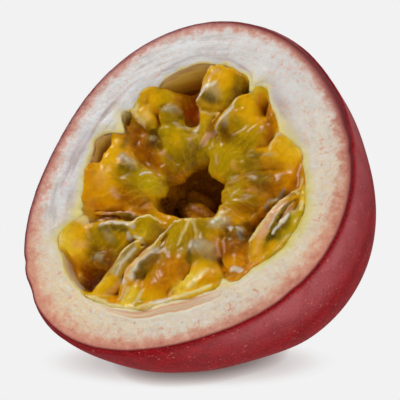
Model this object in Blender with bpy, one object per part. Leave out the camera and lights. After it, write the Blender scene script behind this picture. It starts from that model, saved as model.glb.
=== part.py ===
"""Half of a red passion fruit, cut across and lying on its side with the cut face up and forward.

Two solids in one piece of food: the shell, a thick bowl of skin and pith, and the pulp that
fills it, a ring of juice sacs round an open middle. Both are shaped on the fruit's own axes,
with +Z out of the cut face, and are then tipped back and set down on a small flat spot.
Lengths are in metres and angles in degrees. Angles on the cut face run anticlockwise from +X.
"""

import math

import bmesh
import bpy
from mathutils import Matrix, Vector

NAME = "passion_fruit_half"
MM = 0.001

# --- The whole half ---
FACE_RADIUS = 30.9 * MM  # mean radius of the cut face, out to the skin
DEPTH = 39.0 * MM  # from the cut face to the fruit's far end
FACE_TILT = 45.0  # how far the cut face leans forward from level
REST_SINK = 1.0 * MM  # height of the cap that the resting flat takes off the round skin
# Three carpels make both outlines slightly three-cornered: (crests, size, angle of a crest).
FACE_WAVES = ((2, 1.1 * MM, 80), (3, 1.25 * MM, -3), (4, 0.3 * MM, -23))
SKIN_FULLNESS = 2.2  # 2 would be an ellipse from the cut face to the far end, more is fuller

# --- The hollow in the shell ---
HOLLOW_RADIUS = 21.8 * MM  # mean radius of the hollow at the cut face
SHELL_AT_END = 8.0 * MM  # shell thickness at the far end
HOLLOW_WAVES = ((1, 0.95 * MM, -74), (2, 0.8 * MM, -77), (3, 2.0 * MM, -3), (4, 0.6 * MM, -8))
HOLLOW_FULLNESS = 2.4

# --- The pulp ---
FIT_GAP = 0.3 * MM  # between the pulp and the shell
MIDDLE = (-0.2 * MM, 0.6 * MM)  # where the open middle of the pulp lies on the cut face
MIDDLE_RADIUS = 5.4 * MM  # halfway down its steep sides
MIDDLE_WAVES = ((2, 0.7 * MM, 20), (5, 0.4 * MM, 10))
MIDDLE_WALL = 2.2 * MM  # across the steep sides, as seen from above
MIDDLE_DROP = 9.0 * MM  # from the sacs' tips down to the floor
BED_DEPTH = 6.0 * MM  # the pulp between the sacs, under the cut face
SAC_SIDE_SLOPE = 1.8  # fall of a sac's side beyond its edge, for each unit out
SAC_BLEND = 0.45 * MM  # how softly one sac runs into the next
SAC_TOP = 1.2 * MM  # no sac stands further than this out of the cut face

# Each sac lies on the pulp like a drop, from its root at the wall to its tip at the middle:
# (root angle, root radius, root width, root depth, tip angle, tip radius, tip width, tip depth).
# Radii are from the fruit's axis, widths are across the sac, depths are down to its back.
SACS = (
    (95, 22.5, 8.0, 0.2, 101, 13.0, 6.5, 0.6),
    (67, 16.5, 10.0, 0.2, 73, 9.0, 8.0, 0.9),
    (49, 20.5, 6.5, 0.4, 52, 14.0, 6.0, 0.8),
    (34, 22.0, 8.5, 0.2, 43, 9.6, 7.5, 1.2),
    (17, 23.0, 8.0, 0.6, 14, 10.0, 7.0, 1.6),
    (2, 22.2, 4.5, 0.2, 339, 21.4, 5.5, 0.0),
    (325, 20.5, 8.5, 0.0, 337, 10.2, 6.0, 1.2),
    (309, 21.5, 7.5, 0.0, 306, 9.6, 6.0, 0.2),
    (285, 22.0, 9.5, 0.0, 280, 9.2, 5.5, 0.2),
    (255, 23.5, 4.5, 0.4, 266, 11.5, 4.5, 0.0),
    (219, 23.5, 8.5, 0.2, 233, 10.4, 6.0, 0.3),
    (236, 18.0, 6.5, 0.6, 245, 12.5, 5.0, 0.6),
    (190, 19.5, 10.5, 0.6, 199, 8.2, 6.0, 1.0),
    (172, 19.0, 6.0, 0.8, 173, 10.5, 6.0, 0.9),
    (153, 20.0, 6.0, 3.0, 148, 10.5, 7.0, 2.4),
    (143, 20.0, 4.5, 0.3, 141, 16.0, 4.5, 0.4),
    (134, 21.5, 6.0, 0.4, 127, 15.5, 6.5, 0.4),
    (124, 12.5, 6.0, 1.0, 118, 9.8, 6.0, 1.4),
)

# --- Mesh fineness ---
SHELL_SIDES = 64
SHELL_RINGS = 28
PULP_SIDES = 90
PULP_RINGS = 30
PULP_TOP_SHARE = 0.7  # of the pulp's rings, those on its upper side

SKIN = ("passion_fruit_skin", (0.30, 0.012, 0.020), 0.35)
PULP = ("passion_fruit_pulp", (0.70, 0.38, 0.015), 0.25)


def waved(radius, waves, angle, share=1.0):
    """A radius with the fruit's low waves on it, at an angle in radians."""
    for crests, size, crest in waves:
        radius += share * size * math.cos(crests * (angle - math.radians(crest)))
    return radius


def taper(down, fullness):
    """The share of the cut face's radius that is left a share `down` of the way to the far end."""
    return math.sqrt(max(0.0, 1.0 - down ** fullness))


def skin_radius(angle, down):
    return waved(FACE_RADIUS, FACE_WAVES, angle, 1.0 - down) * taper(down, SKIN_FULLNESS)


def hollow_radius(angle, down, gap=0.0):
    full = waved(HOLLOW_RADIUS, HOLLOW_WAVES, angle, 1.0 - down) - gap
    return full * taper(down, HOLLOW_FULLNESS)


def hollow_depth(gap=0.0):
    return DEPTH - SHELL_AT_END - gap


def soft_high(heights, blend):
    """The highest of the heights, rounded where two are nearly level."""
    top = max(heights)
    return top + blend * math.log(sum(math.exp((height - top) / blend) for height in heights))


def middle_drop(place):
    """How far the open middle sinks the pulp at a place: nothing outside its steep sides."""
    out = place - Vector(MIDDLE)
    edge = waved(MIDDLE_RADIUS, MIDDLE_WAVES, math.atan2(out.y, out.x))
    inside = min(1.0, max(0.0, 0.5 + (edge - out.length) / MIDDLE_WALL))
    return MIDDLE_DROP * inside * inside * (3.0 - 2.0 * inside)


def sac_height(place, sac):
    """The back of one sac over a place on the cut face, or far below it beside the sac."""
    root_angle, root_out, root_width, root_down, tip_angle, tip_out, tip_width, tip_down = sac
    root = root_out * MM * Vector((math.cos(math.radians(root_angle)), math.sin(math.radians(root_angle))))
    tip = tip_out * MM * Vector((math.cos(math.radians(tip_angle)), math.sin(math.radians(tip_angle))))
    line = tip - root
    along = min(1.0, max(0.0, (place - root).dot(line) / line.length_squared))
    half_width = 0.5 * MM * (root_width + (tip_width - root_width) * along)
    back = -MM * (root_down + (tip_down - root_down) * along)
    off = (place - root - along * line).length / half_width
    if off < 1.0:
        return back - half_width * (1.0 - math.cos(0.5 * math.pi * off))
    return back - half_width * (1.0 + SAC_SIDE_SLOPE * (off - 1.0))


def pulp_height(place):
    heights = [-BED_DEPTH] + [sac_height(place, sac) for sac in SACS]
    return min(SAC_TOP, soft_high(heights, SAC_BLEND)) - middle_drop(place)


def round_body(sides, rings, shape):
    """A closed ball of faces, each corner moved by shape(angle, latitude)."""
    body = bmesh.new()
    bmesh.ops.create_uvsphere(body, u_segments=sides, v_segments=rings, radius=1.0)
    for vert in body.verts:
        angle = math.atan2(vert.co.y, vert.co.x)
        latitude = math.asin(max(-1.0, min(1.0, vert.co.z)))
        vert.co = shape(angle, latitude)
    return body


def at(angle, radius, height):
    return Vector((radius * math.cos(angle), radius * math.sin(angle), height))


def skin_shape(angle, latitude):
    down = abs(math.sin(latitude))
    return at(angle, skin_radius(angle, down), math.copysign(DEPTH * down, latitude))


def hollow_shape(angle, latitude):
    """The cutter for the hollow: its upper half only has to clear the cut face."""
    down = abs(math.sin(latitude))
    if latitude > 0.0:
        return at(angle, hollow_radius(angle, 0.0) * taper(down, 2.0), 0.5 * DEPTH * down)
    return at(angle, hollow_radius(angle, down), -hollow_depth() * down)


def pulp_shape(angle, latitude):
    """Upper rings run from the axis out to the wall, lower ones down the wall to the end."""
    share = (0.5 * math.pi - latitude) / math.pi
    wall = hollow_radius(angle, 0.0, FIT_GAP)
    edge = Vector((wall * math.cos(angle), wall * math.sin(angle)))
    contact = min(-FIT_GAP, pulp_height(edge))
    start = -contact / hollow_depth(FIT_GAP)
    if share <= PULP_TOP_SHARE:
        out = share / PULP_TOP_SHARE
        radius = hollow_radius(angle, start, FIT_GAP) * out
        height = pulp_height(Vector((radius * math.cos(angle), radius * math.sin(angle))))
        return at(angle, radius, contact if out > 0.999 else height)
    turn = (share - PULP_TOP_SHARE) / (1.0 - PULP_TOP_SHARE)
    down = math.sin(math.asin(start) + (0.5 * math.pi - math.asin(start)) * turn)
    return at(angle, hollow_radius(angle, down, FIT_GAP), -hollow_depth(FIT_GAP) * down)


def slice_off(body, point, outward):
    """Cut a closed body at a plane, drop what lies outward of it and close the cut."""
    everything = body.verts[:] + body.edges[:] + body.faces[:]
    cut = bmesh.ops.bisect_plane(
        body, geom=everything, dist=1e-7, plane_co=point, plane_no=outward, clear_outer=True
    )
    rim = [item for item in cut["geom_cut"] if isinstance(item, bmesh.types.BMEdge)]
    bmesh.ops.contextual_create(body, geom=rim)


def material(name, colour, roughness):
    finish = bpy.data.materials.new(name)
    finish.use_nodes = True
    shader = finish.node_tree.nodes["Principled BSDF"]
    shader.inputs["Base Color"].default_value = (*colour, 1.0)
    shader.inputs["Roughness"].default_value = roughness
    shader.inputs["Metallic"].default_value = 0.0
    return finish


def add_object(name, body, collection, finish=None):
    bmesh.ops.recalc_face_normals(body, faces=body.faces)
    mesh = bpy.data.meshes.new(name)
    body.to_mesh(mesh)
    body.free()
    mesh.shade_smooth()
    mesh.set_sharp_from_angle(angle=math.radians(50))
    if finish:
        mesh.materials.append(material(*finish))
    item = bpy.data.objects.new(name, mesh)
    collection.objects.link(item)
    return item


def resting_place(body):
    """Tip the body back, and set it down with its resting cap sunk under z = 0."""
    tip = Matrix.Rotation(math.radians(FACE_TILT), 4, "X")
    corners = [tip @ vert.co for vert in body.verts if vert.co.z <= 0.0]
    lowest = min(corner.z for corner in corners)
    middle = [0.5 * (min(c[i] for c in corners) + max(c[i] for c in corners)) for i in (0, 1)]
    return Matrix.Translation((-middle[0], -middle[1], -lowest - REST_SINK)) @ tip


for old in list(bpy.data.objects):
    bpy.data.objects.remove(old, do_unlink=True)

fruit = bpy.data.collections.new(NAME)
tools = bpy.data.collections.new("cutters")
bpy.context.scene.collection.children.link(fruit)
bpy.context.scene.collection.children.link(tools)

# The shell: the outer shape, cut at the face and at the resting flat, and hollowed.
shell_body = round_body(SHELL_SIDES, SHELL_RINGS, skin_shape)
slice_off(shell_body, (0.0, 0.0, 0.0), (0.0, 0.0, 1.0))
place = resting_place(shell_body)
bmesh.ops.transform(shell_body, matrix=place, verts=shell_body.verts)
slice_off(shell_body, (0.0, 0.0, 0.0), (0.0, 0.0, -1.0))
shell = add_object("shell", shell_body, fruit, SKIN)

hollow_body = round_body(SHELL_SIDES, SHELL_RINGS, hollow_shape)
bmesh.ops.transform(hollow_body, matrix=place, verts=hollow_body.verts)
hollow = add_object("hollow_cutter", hollow_body, tools)
hollow.hide_render = True
hollow.display_type = "WIRE"
scoop = shell.modifiers.new("hollow", "BOOLEAN")
scoop.operation = "DIFFERENCE"
scoop.object = hollow

# The pulp: one body of sacs that fills the hollow to about the cut face.
pulp_body = round_body(PULP_SIDES, PULP_RINGS, pulp_shape)
bmesh.ops.transform(pulp_body, matrix=place, verts=pulp_body.verts)
add_object("pulp", pulp_body, fruit, PULP)
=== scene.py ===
"""The looks of a passion fruit half: its shell, pulp, seeds and membranes, on a plain pale floor."""

import math

import bpy
import numpy as np
from mathutils import Matrix, Vector, noise


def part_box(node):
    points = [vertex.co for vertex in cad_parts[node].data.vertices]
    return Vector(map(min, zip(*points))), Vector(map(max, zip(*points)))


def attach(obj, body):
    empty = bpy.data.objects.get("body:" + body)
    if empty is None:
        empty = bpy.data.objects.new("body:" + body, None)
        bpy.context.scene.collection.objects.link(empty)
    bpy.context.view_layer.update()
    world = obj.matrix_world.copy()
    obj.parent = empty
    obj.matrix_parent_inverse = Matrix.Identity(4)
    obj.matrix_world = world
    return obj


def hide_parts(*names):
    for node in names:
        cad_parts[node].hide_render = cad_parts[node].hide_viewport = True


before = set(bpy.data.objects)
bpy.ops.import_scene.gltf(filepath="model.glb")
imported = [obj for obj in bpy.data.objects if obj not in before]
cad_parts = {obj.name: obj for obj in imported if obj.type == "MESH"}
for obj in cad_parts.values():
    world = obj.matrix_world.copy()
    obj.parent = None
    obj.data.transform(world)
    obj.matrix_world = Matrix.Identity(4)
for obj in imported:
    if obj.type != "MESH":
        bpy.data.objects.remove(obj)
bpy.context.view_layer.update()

# ---------------------------------------------------------------------------------------------
# The shell. A ripe passion fruit's wall is 8 to 9 mm of spongy pale pith under a thin waxy
# crimson skin, with a creamy lining on the inside. A knife has cut it straight across, so one
# closed surface runs from the lining over the lip, across the cut and round the skin.
# ---------------------------------------------------------------------------------------------
MM = 0.001
FACE_RADIUS = 30.9
DEPTH = 39.0
FACE_TILT = math.radians(45.0)
FACE_WAVES = ((2, 1.1, 80), (3, 1.25, -3), (4, 0.3, -23))
SKIN_FULLNESS = 2.2
HOLLOW_RADIUS = 21.8
HOLLOW_DEPTH = 31.0
HOLLOW_WAVES = ((1, 0.95, -74), (2, 0.8, -77), (3, 2.0, -3), (4, 0.6, -8))
HOLLOW_FULLNESS = 2.4
# Where the hollow's mouth is wider or narrower than its waves: (degrees, how much, degrees wide).
HOLLOW_MOUTH = (
    (33, 1.1, 7), (72, 1.3, 5.5), (110, 1, 18), (137.5, 0.8, 3.5), (151, 0.8, 3), (169, 2.3, 7), (183, 1.3, 8),
    (217, 2.4, 8), (228, 1.3, 8), (240, 1.1, 11), (8, -0.5, 8), (286, -0.4, 9), (354, -0.9, 9), (338, -1.1, 10),
    (329, -0.6, 6),
)
EDGE_ROUND = 0.5
LIP_ROUND = 0.7
# The lip is not a clean line: pale tabs of lining reach in over the pulp, (degrees, reach, degrees wide).
LIP_TABS = (
    (157.5, 2.2, 3.2), (131, 0.5, 3), (209.5, 1.9, 3.4), (203, 0.7, 3), (314.6, 1.2, 2.2), (79.5, 1.5, 2.4),
    (47, 0.4, 5),
    (146.5, 0.3, 2.5),
)
TAB_FADE = 2.0
# The rim of the cut is fuller here and nicked there: (degrees, how much, degrees wide).
RIM_SWELLS = (
    (198, 0.25, 16), (105, 0.15, 20), (62, -0.25, 14), (231, -0.45, 4), (221, -0.3, 2), (37, -0.2, 2.5), (26, -0.25, 2),
    (334, -0.2, 3),
)
# The skin is flatter or fuller here and there: (across, up, above the cut, how much, half width).
SKIN_SWELLS = (
    (12, -21, -25, -1.5, 9), (3.5, -27, -20.5, -0.6, 6), (-11, -30.6, -5, 0.35, 7), (25, 5, -22, 0.4, 12),
)
SHELL_SEGMENTS = 400
# Rings of faces from the bottom of the hollow to the far end of the skin.
SHELL_PATH = (("hollow", 44), ("lip", 14), ("face", 60), ("edge", 12), ("skin", 70))
SHELL_RINGS = sum(count for _, count in SHELL_PATH)
RINGS_CROWD_AT_LIP = 1.6


def waved(radius, waves, angle, share=1.0):
    for crests, size, crest_highlight in waves:
        radius = radius + share * size * np.cos(crests * (angle - math.radians(crest_highlight)))
    return radius


def taper(down, fullness):
    return np.sqrt(np.maximum(0.0, 1.0 - down ** fullness))


def bell(value, centre, half_width):
    return np.exp(-((value - centre) / half_width) ** 2)


def turn_gap(angle, degrees):
    """Degrees round the face from a direction, -180 to 180."""
    return (np.degrees(angle) - degrees + 180.0) % 360.0 - 180.0


def bumps(angle, places):
    """Soft bumps round the face, from (degrees, how much, degrees wide)."""
    return sum(size * bell(turn_gap(angle, place), 0, wide) for place, size, wide in places)


def hollow_radius(angle, down):
    mouth = bumps(angle, HOLLOW_MOUTH)
    return (waved(HOLLOW_RADIUS, HOLLOW_WAVES, angle, 1.0 - down) + (1.0 - down) * mouth) * taper(down, HOLLOW_FULLNESS)


def lumps(points, size, seed=0.0):
    """Soft noise, about -1 to 1, with lumps of a size in the points' own units."""
    shift = Vector((seed * 7.3, seed * 3.1, seed * 5.7))
    return np.array([noise.noise(Vector(p) / size + shift) for p in points])


def start_clean():
    if bpy.context.object and bpy.context.object.mode != "OBJECT":
        bpy.ops.object.mode_set(mode="OBJECT")
    bpy.ops.object.select_all(action="DESELECT")


def corners(item):
    out = np.empty(len(item.data.vertices) * 3)
    item.data.vertices.foreach_get("co", out)
    return out.reshape(-1, 3)


def set_corners(item, points):
    item.data.vertices.foreach_set("co", np.asarray(points, float).ravel())
    item.data.update()


def store(item, name, values):
    """Keep a number, or a place, for each corner of a piece, for its material to read."""
    values = np.asarray(values, np.float32)
    kind, field = ("FLOAT", "value") if values.ndim == 1 else ("FLOAT_VECTOR", "vector")
    item.data.attributes.new(name, kind, "POINT").data.foreach_set(field, values.ravel())


start_clean()
bpy.ops.mesh.primitive_uv_sphere_add(segments=SHELL_SEGMENTS, ring_count=SHELL_RINGS, radius=1.0)
shell = bpy.context.object
shell.name = "shell_flesh"
ball = corners(shell)
angle = np.arctan2(ball[:, 1], ball[:, 0])
ring = np.rint((0.5 * np.pi - np.arcsin(np.clip(ball[:, 2], -1, 1))) / np.pi * SHELL_RINGS)
in_hollow = ring <= SHELL_PATH[0][1]
on_skin = ring > SHELL_RINGS - SHELL_PATH[4][1]

outer = waved(FACE_RADIUS, FACE_WAVES, angle)
direction = np.c_[np.cos(angle), np.sin(angle), np.zeros(len(angle))]
lip_in = 0.25 * lumps(direction * 22, 3.0, 1) + 0.15 * lumps(direction * 22, 1.1, 2) + bumps(angle, LIP_TABS)
inner = hollow_radius(angle, 0.0) - lip_in

radius = np.zeros(len(ball))
height = np.zeros(len(ball))
first = 0
for part, count in SHELL_PATH:
    here = (ring >= first) & (ring <= first + count) if part == "hollow" else (ring > first) & (ring <= first + count)
    u = (ring[here] - first) / count
    a = angle[here]
    if part == "hollow":
        lat = 0.5 * np.pi * (1.0 - (1.0 - u) ** RINGS_CROWD_AT_LIP)
        down = np.cos(lat) * (1.0 - LIP_ROUND / HOLLOW_DEPTH) + LIP_ROUND / HOLLOW_DEPTH
        near = np.exp(-(down * HOLLOW_DEPTH - LIP_ROUND) / TAB_FADE)
        radius[here] = hollow_radius(a, down) - lip_in[here] * near
        height[here] = -HOLLOW_DEPTH * down
    elif part == "lip":
        radius[here] = inner[here] + LIP_ROUND * (1.0 - np.cos(0.5 * np.pi * u))
        height[here] = -LIP_ROUND * (1.0 - np.sin(0.5 * np.pi * u))
    elif part == "face":
        lo, hi = inner[here] + LIP_ROUND, outer[here] - EDGE_ROUND
        radius[here] = lo + (hi - lo) * u
    elif part == "edge":
        radius[here] = outer[here] - EDGE_ROUND * (1.0 - np.sin(0.5 * np.pi * u))
        height[here] = -EDGE_ROUND * (1.0 - np.cos(0.5 * np.pi * u))
    else:
        lat = 0.5 * np.pi * u
        down = np.sin(lat) * (1.0 - EDGE_ROUND / DEPTH) + EDGE_ROUND / DEPTH
        radius[here] = waved(FACE_RADIUS, FACE_WAVES, a, 1.0 - down) * taper(down, SKIN_FULLNESS)
        height[here] = -DEPTH * down
    first += count
points = np.c_[radius * np.cos(angle), radius * np.sin(angle), height]

# Tip the fruit back from lying face up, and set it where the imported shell's box is.
tip = Matrix.Rotation(FACE_TILT, 4, "X") @ Matrix.Scale(MM, 4)
tipped = points @ np.array(tip.to_3x3()).T
shell_low, shell_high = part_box("shell")
middle = 0.5 * (shell_low + shell_high)
shift = Vector((
    middle.x - 0.5 * (tipped[:, 0].min() + tipped[:, 0].max()),
    middle.y - 0.5 * (tipped[:, 1].min() + tipped[:, 1].max()),
    shell_high.z - tipped[:, 2].max(),
))
FACE_TO_WORLD = Matrix.Translation(shift) @ tip


def to_world(points):
    return np.asarray(points) @ np.array(FACE_TO_WORLD.to_3x3()).T + np.array(FACE_TO_WORLD.translation)


# Soft unevenness: the pith shrinks a little between its fibres, and the skin has shallow dents.
from_skin = outer - radius
from_lip = radius - inner
on_face = (height > -0.75) & ~in_hollow
face_bell = np.clip(from_skin / 1.5, 0, 1) * np.clip(from_lip / 1.0, 0, 1)
points[:, 2] += on_face * face_bell * (0.16 * lumps(points, 4.5, 3) + 0.07 * lumps(points, 1.4, 4))
points[:, 2] -= on_face * 0.5 * bell(from_lip, 0.0, 1.6)
# The rim is worn down at the upper right, and the lip is grooved and ridged at the bottom.
points[:, 2] -= on_face * bumps(angle, ((58, 1.1, 34),)) * np.clip(1.0 - from_skin / 3.0, 0, 1) ** 2
low_lip = bumps(angle, ((291, 1.0, 34),))
points[:, 2] -= on_face * low_lip * (0.30 * bell(from_lip, 0.75, 0.4) - 0.22 * bell(from_lip, 1.8, 0.5))
away = points / np.maximum(1e-6, np.linalg.norm(points, axis=1))[:, None]
swell = on_skin * (0.3 + 0.12 * lumps(points, 9.0, 5))
for x, y, z, size, half in SKIN_SWELLS:
    swell = swell + on_skin * size * np.exp(-np.sum((points - (x, y, z)) ** 2, axis=1) / half ** 2)
points += swell[:, None] * away
rim = 0.25 + 0.05 * lumps(direction * 31, 2.0, 6) + 0.04 * lumps(direction * 31, 0.8, 7) + bumps(angle, RIM_SWELLS)
near_rim = np.clip((radius / outer - 0.75) / 0.25, 0, 1) * np.exp(height / 4.0) * ~in_hollow
points += (rim * near_rim)[:, None] * direction

clock = np.degrees(angle) % 360.0


def round_face(*values):
    """For each corner, a value that changes smoothly round the face, from (degrees, value) pairs."""
    places, levels = zip(*values)
    return np.interp(clock, (places[-1] - 360.0, *places, places[0] + 360.0), (levels[-1], *levels, levels[0]))


half_edge = SHELL_PATH[3][1] // 2
skin_start = SHELL_RINGS - SHELL_PATH[4][1] - half_edge
face_start = SHELL_PATH[0][1] + SHELL_PATH[1][1] // 2
from_skin = np.where(ring > skin_start, -0.2, from_skin)
from_lip = np.where(ring <= face_start, height, from_lip)
# How far the skin's blush, its dark edge and the juice's stain reach into the pith, in mm. The dark edge is widest at
# the upper right, where it is also painted shade on the rim that rounds away.
blush_wide = round_face((0, 4.6), (30, 3.2), (75, 2.9), (110, 2.7), (150, 2.8), (185, 3.3), (215, 4), (240, 4.6),
                        (262, 4), (290, 2.6), (320, 3.4), (345, 5))
edge_and_shade_wide = round_face((0, 0.5), (25, 0.8), (50, 1.4), (80, 1.1), (110, 0.8), (150, 0.8), (200, 0.75), (240, 0.4),
                       (300, 0.3), (345, 0.4))
lip_wide = round_face((0, 2.4), (25, 1.8), (50, 1.2), (85, 0.9), (110, 0.45), (140, 0.4), (165, 0.7), (195, 1.6),
                      (218, 1.2), (240, 0.5), (270, 0.6), (320, 0.8), (340, 2.2))
flat_place = np.c_[points[:, :2], 0 * clock]
rough_lip = from_lip + (0.45 * lumps(flat_place, 1.6, 21) + 0.25 * lumps(flat_place, 0.7, 22)) * (from_lip > 0)
# How creamy, salmon pink or wet the pith is round the face, from 0 to 1. Where it is wet, it also gets painted
# highlights and painted shade in streaks.
cream = round_face((0, 0.85), (35, 0.45), (60, 0.1), (120, 0), (200, 0), (222, 0.75), (245, 1), (270, 0.7), (300, 0.55),
                   (335, 0.7))
salmon = round_face((0, 0.6), (40, 0.1), (90, 0.2), (150, 0.1), (200, 0.5), (235, 1), (270, 0.8), (320, 0.5), (350, 1))
wet_and_glints = round_face((0, 0.1), (80, 0.3), (110, 0.7), (140, 1), (200, 1), (225, 0.2), (300, 0.1))
# Thin mauve lines and a glassy patch in the pith close to the hollow.
mauve_line = np.interp(clock, (125, 148, 165, 183, 200), (26.0, 24.4, 23.3, 23.0, 23.4))
mauve = sum(most * bell(out, line, thick) * bell(clock, middle, wide) for most, out, line, thick, middle, wide in (
    (0.9, radius, mauve_line, 0.35, 158, 20), (0.7, radius, mauve_line + 1.1, 0.8, 178, 16),
    (0.7, from_lip, 2.2, 0.9, 200, 9), (0.9, from_lip, 1.2, 0.35, 84, 14), (0.5, from_lip, 1.6, 0.25, 120, 16),
))
glassy = bell(from_lip, 1.9, 1.5) * bell(clock, 56, 16)
# Under the lip at the bottom the lining shows as bands: cream, rosy brown, tan, and a pale line.
banded = np.clip((1.0 - abs((clock - 286.0) / 32.0)) * 1.8, 0, 1)
band_at = from_lip / (0.45 + 1.3 * np.clip(1.0 - ((clock - 296.0) / 40.0) ** 2, 0, 1))
# A pale painted reflection on the skin near the cut, widest at the right.
painted_reflection = round_face((0, 0.75), (20, 0.6), (50, 0.5), (90, 0.3), (240, 0), (285, 0), (312, 0.5), (335, 0.9))
painted_reflection = painted_reflection * on_skin * np.clip(1.0 - (-height - 3.0) / 9.0, 0, 1)
# Where the pulp fills the hollow up to the lip, where tabs lie on the lip, and where its juice stains it lime.
filled = 1.0 - np.clip(bumps(angle, ((112, 1, 22), (172, 1, 9), (238, 1, 10))), 0, 1)
near_lip = np.clip(1.0 + height / 3.0, 0, 1)
tabs = sum(bell(clock, place, wide) for place, wide in ((157.5, 6), (209, 7.5), (47, 7), (79.5, 4.5), (315, 3)))
lime = round_face((0, 0.8), (15, 0.45), (40, 0.3), (60, 0.1), (90, 0), (150, 0.15), (190, 0.3), (215, 0.2), (318, 0),
                  (330, 0.7), (345, 1))
for name, values in (
    ("place", points), ("turn", np.c_[np.cos(angle) * 26.0, np.sin(angle) * 26.0, radius + 0.6 * height]),
    ("from_lip", from_lip), ("blush", from_skin / blush_wide), ("edge", from_skin / edge_and_shade_wide),
    ("lip", rough_lip / lip_wide), ("cream", cream), ("salmon", salmon), ("wet_and_glints", wet_and_glints), ("mauve", mauve),
    ("glassy", glassy), ("banded", banded), ("band_at", band_at), ("painted_reflection", painted_reflection), ("filled", filled),
    ("tab", np.clip(tabs, 0, 1) * np.clip(1.3 - from_lip / 2.6, 0, 1) * near_lip),
    ("lime", lime * np.clip(1.0 - rough_lip / (0.8 + 2.4 * lime), 0, 1) * near_lip),
):
    store(shell, name, values)

placed = to_world(points)
placed[:, 2] = np.maximum(placed[:, 2], 0.0)
set_corners(shell, placed)
bpy.ops.object.shade_smooth()


def srgb(code, alpha=1.0):
    """A hex colour as the linear colour a shader takes."""
    parts = [int(code[i:i + 2], 16) / 255.0 for i in (1, 3, 5)]
    return (*[c / 12.92 if c <= 0.04045 else ((c + 0.055) / 1.055) ** 2.4 for c in parts], alpha)


def add(tree, kind, settings=None, stops=(), **inputs):
    """One shader node: its settings, its colour stops, and its sockets' values or what feeds them."""
    node = tree.nodes.new("ShaderNode" + kind)
    for key, value in (settings or {}).items():
        setattr(node, key, value)
    for index, (at, code) in enumerate(stops):
        stop = node.color_ramp.elements[index] if index < 2 else node.color_ramp.elements.new(at)
        stop.position = at
        stop.color = srgb(code)
    for key, value in inputs.items():
        name = key.replace("_", " ").strip()
        if name.isdigit():
            socket = node.inputs[int(name)]
        else:
            socket = next(s for s in node.inputs if s.name == name and s.enabled)
        if isinstance(value, bpy.types.Node):
            value = next(s for s in value.outputs if s.enabled)
        if isinstance(value, bpy.types.NodeSocket):
            tree.links.new(value, socket)
        else:
            socket.default_value = value
    return node


def new_material(name):
    """A material with no nodes yet."""
    material = bpy.data.materials.new(name)
    material.use_nodes = True
    material.node_tree.nodes.clear()
    return material, material.node_tree


VECTOR, NUMBER = "Vector", "Fac"
MIX = {"data_type": "RGBA", "clamp_factor": True}
TIMES = {"operation": "MULTIPLY"}
PLUS = {"operation": "ADD"}
MOST = {"operation": "MAXIMUM"}
SMOOTH = {"interpolation_type": "SMOOTHSTEP"}

# Waxy skin of a ripe purple passion fruit: crimson, faintly mottled, with tiny tan breathing pores.
# The wax gives it a soft sheen, and a pale reflection is painted into its colour near the cut.
skin_mat, tree = new_material("waxy_crimson_skin")
place, painted_reflection = (add(tree, "Attribute", {"attribute_name": name}).outputs[kind] for name, kind in (
    ("place", VECTOR), ("painted_reflection", NUMBER)))
mottle = add(tree, "TexNoise", Vector=place, Scale=0.35, Detail=5.0, Roughness=0.6)
skin = add(tree, "ValToRGB", stops=((0.3, "#7c020c"), (0.7, "#a20614")), Fac=mottle)
patchy = add(tree, "TexNoise", Vector=place, Scale=0.22, Detail=4.0, Roughness=0.55)
patchy = add(tree, "MapRange", Value=patchy, From_Min=0.3, From_Max=0.6, To_Min=0.6)
painted_reflection = add(tree, "Math", TIMES, _0=painted_reflection, _1=patchy)
# Pores: 0.15 to 0.3 mm across, about 1.3 mm apart, each cell with its own size or none.
pores = add(tree, "TexVoronoi", Vector=place, Scale=0.8)
pick = add(tree, "SeparateColor", Color=pores.outputs["Color"])
reach = add(tree, "MapRange", Value=pick.outputs[1], To_Min=0.09, To_Max=0.22)
near = add(tree, "Math", {"operation": "LESS_THAN"}, _0=pores.outputs["Distance"], _1=reach)
kept = add(tree, "Math", {"operation": "GREATER_THAN"}, _0=pick.outputs[0], _1=0.35)
spots = add(tree, "Math", TIMES, _0=near, _1=kept)
spots = add(tree, "Math", TIMES, _0=spots, _1=0.42)
fine = add(tree, "TexNoise", Vector=place, Scale=2.6, Detail=3.0, Roughness=0.6)
pale = add(tree, "MapRange", Value=fine, From_Min=0.52, From_Max=0.68, To_Max=0.4)
dark = add(tree, "MapRange", Value=fine, From_Min=0.48, From_Max=0.34, To_Max=0.35)
# The first colour mixed in is a painted reflection near the cut; the pores and the pale and dark flecks are the skin's
# own.
for share, colour in ((painted_reflection, "#c4686c"), (spots, "#d88878"), (pale, "#c04848"), (dark, "#5c0612")):
    skin = add(tree, "Mix", MIX, Factor=share, A=skin, B=srgb(colour))
grain = add(tree, "Bump", Strength=0.25, Distance=0.0001, Height=fine)
wax = add(tree, "BsdfPrincipled", Base_Color=skin, Roughness=0.34, IOR=1.4, Specular_IOR_Level=0.1, Normal=grain)
add(tree, "OutputMaterial", Surface=wax)

# Cut pith: spongy white cells full of water, stained by the skin's colour near the outside and by
# juice near the hollow, with short tan fibres cut across.
pith_mat, tree = new_material("cut_pith")
place, turn, wet_and_glints, cream, blush, mauve, glassy, salmon, edge, lip, lime, tab, banded, band_at = (
    add(tree, "Attribute", {"attribute_name": name}).outputs[kind] for name, kind in (
        ("place", VECTOR), ("turn", VECTOR), ("wet_and_glints", NUMBER), ("cream", NUMBER), ("blush", NUMBER), ("mauve", NUMBER),
        ("glassy", NUMBER), ("salmon", NUMBER), ("edge", NUMBER), ("lip", NUMBER), ("lime", NUMBER), ("tab", NUMBER),
        ("banded", NUMBER), ("band_at", NUMBER)))
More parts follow.
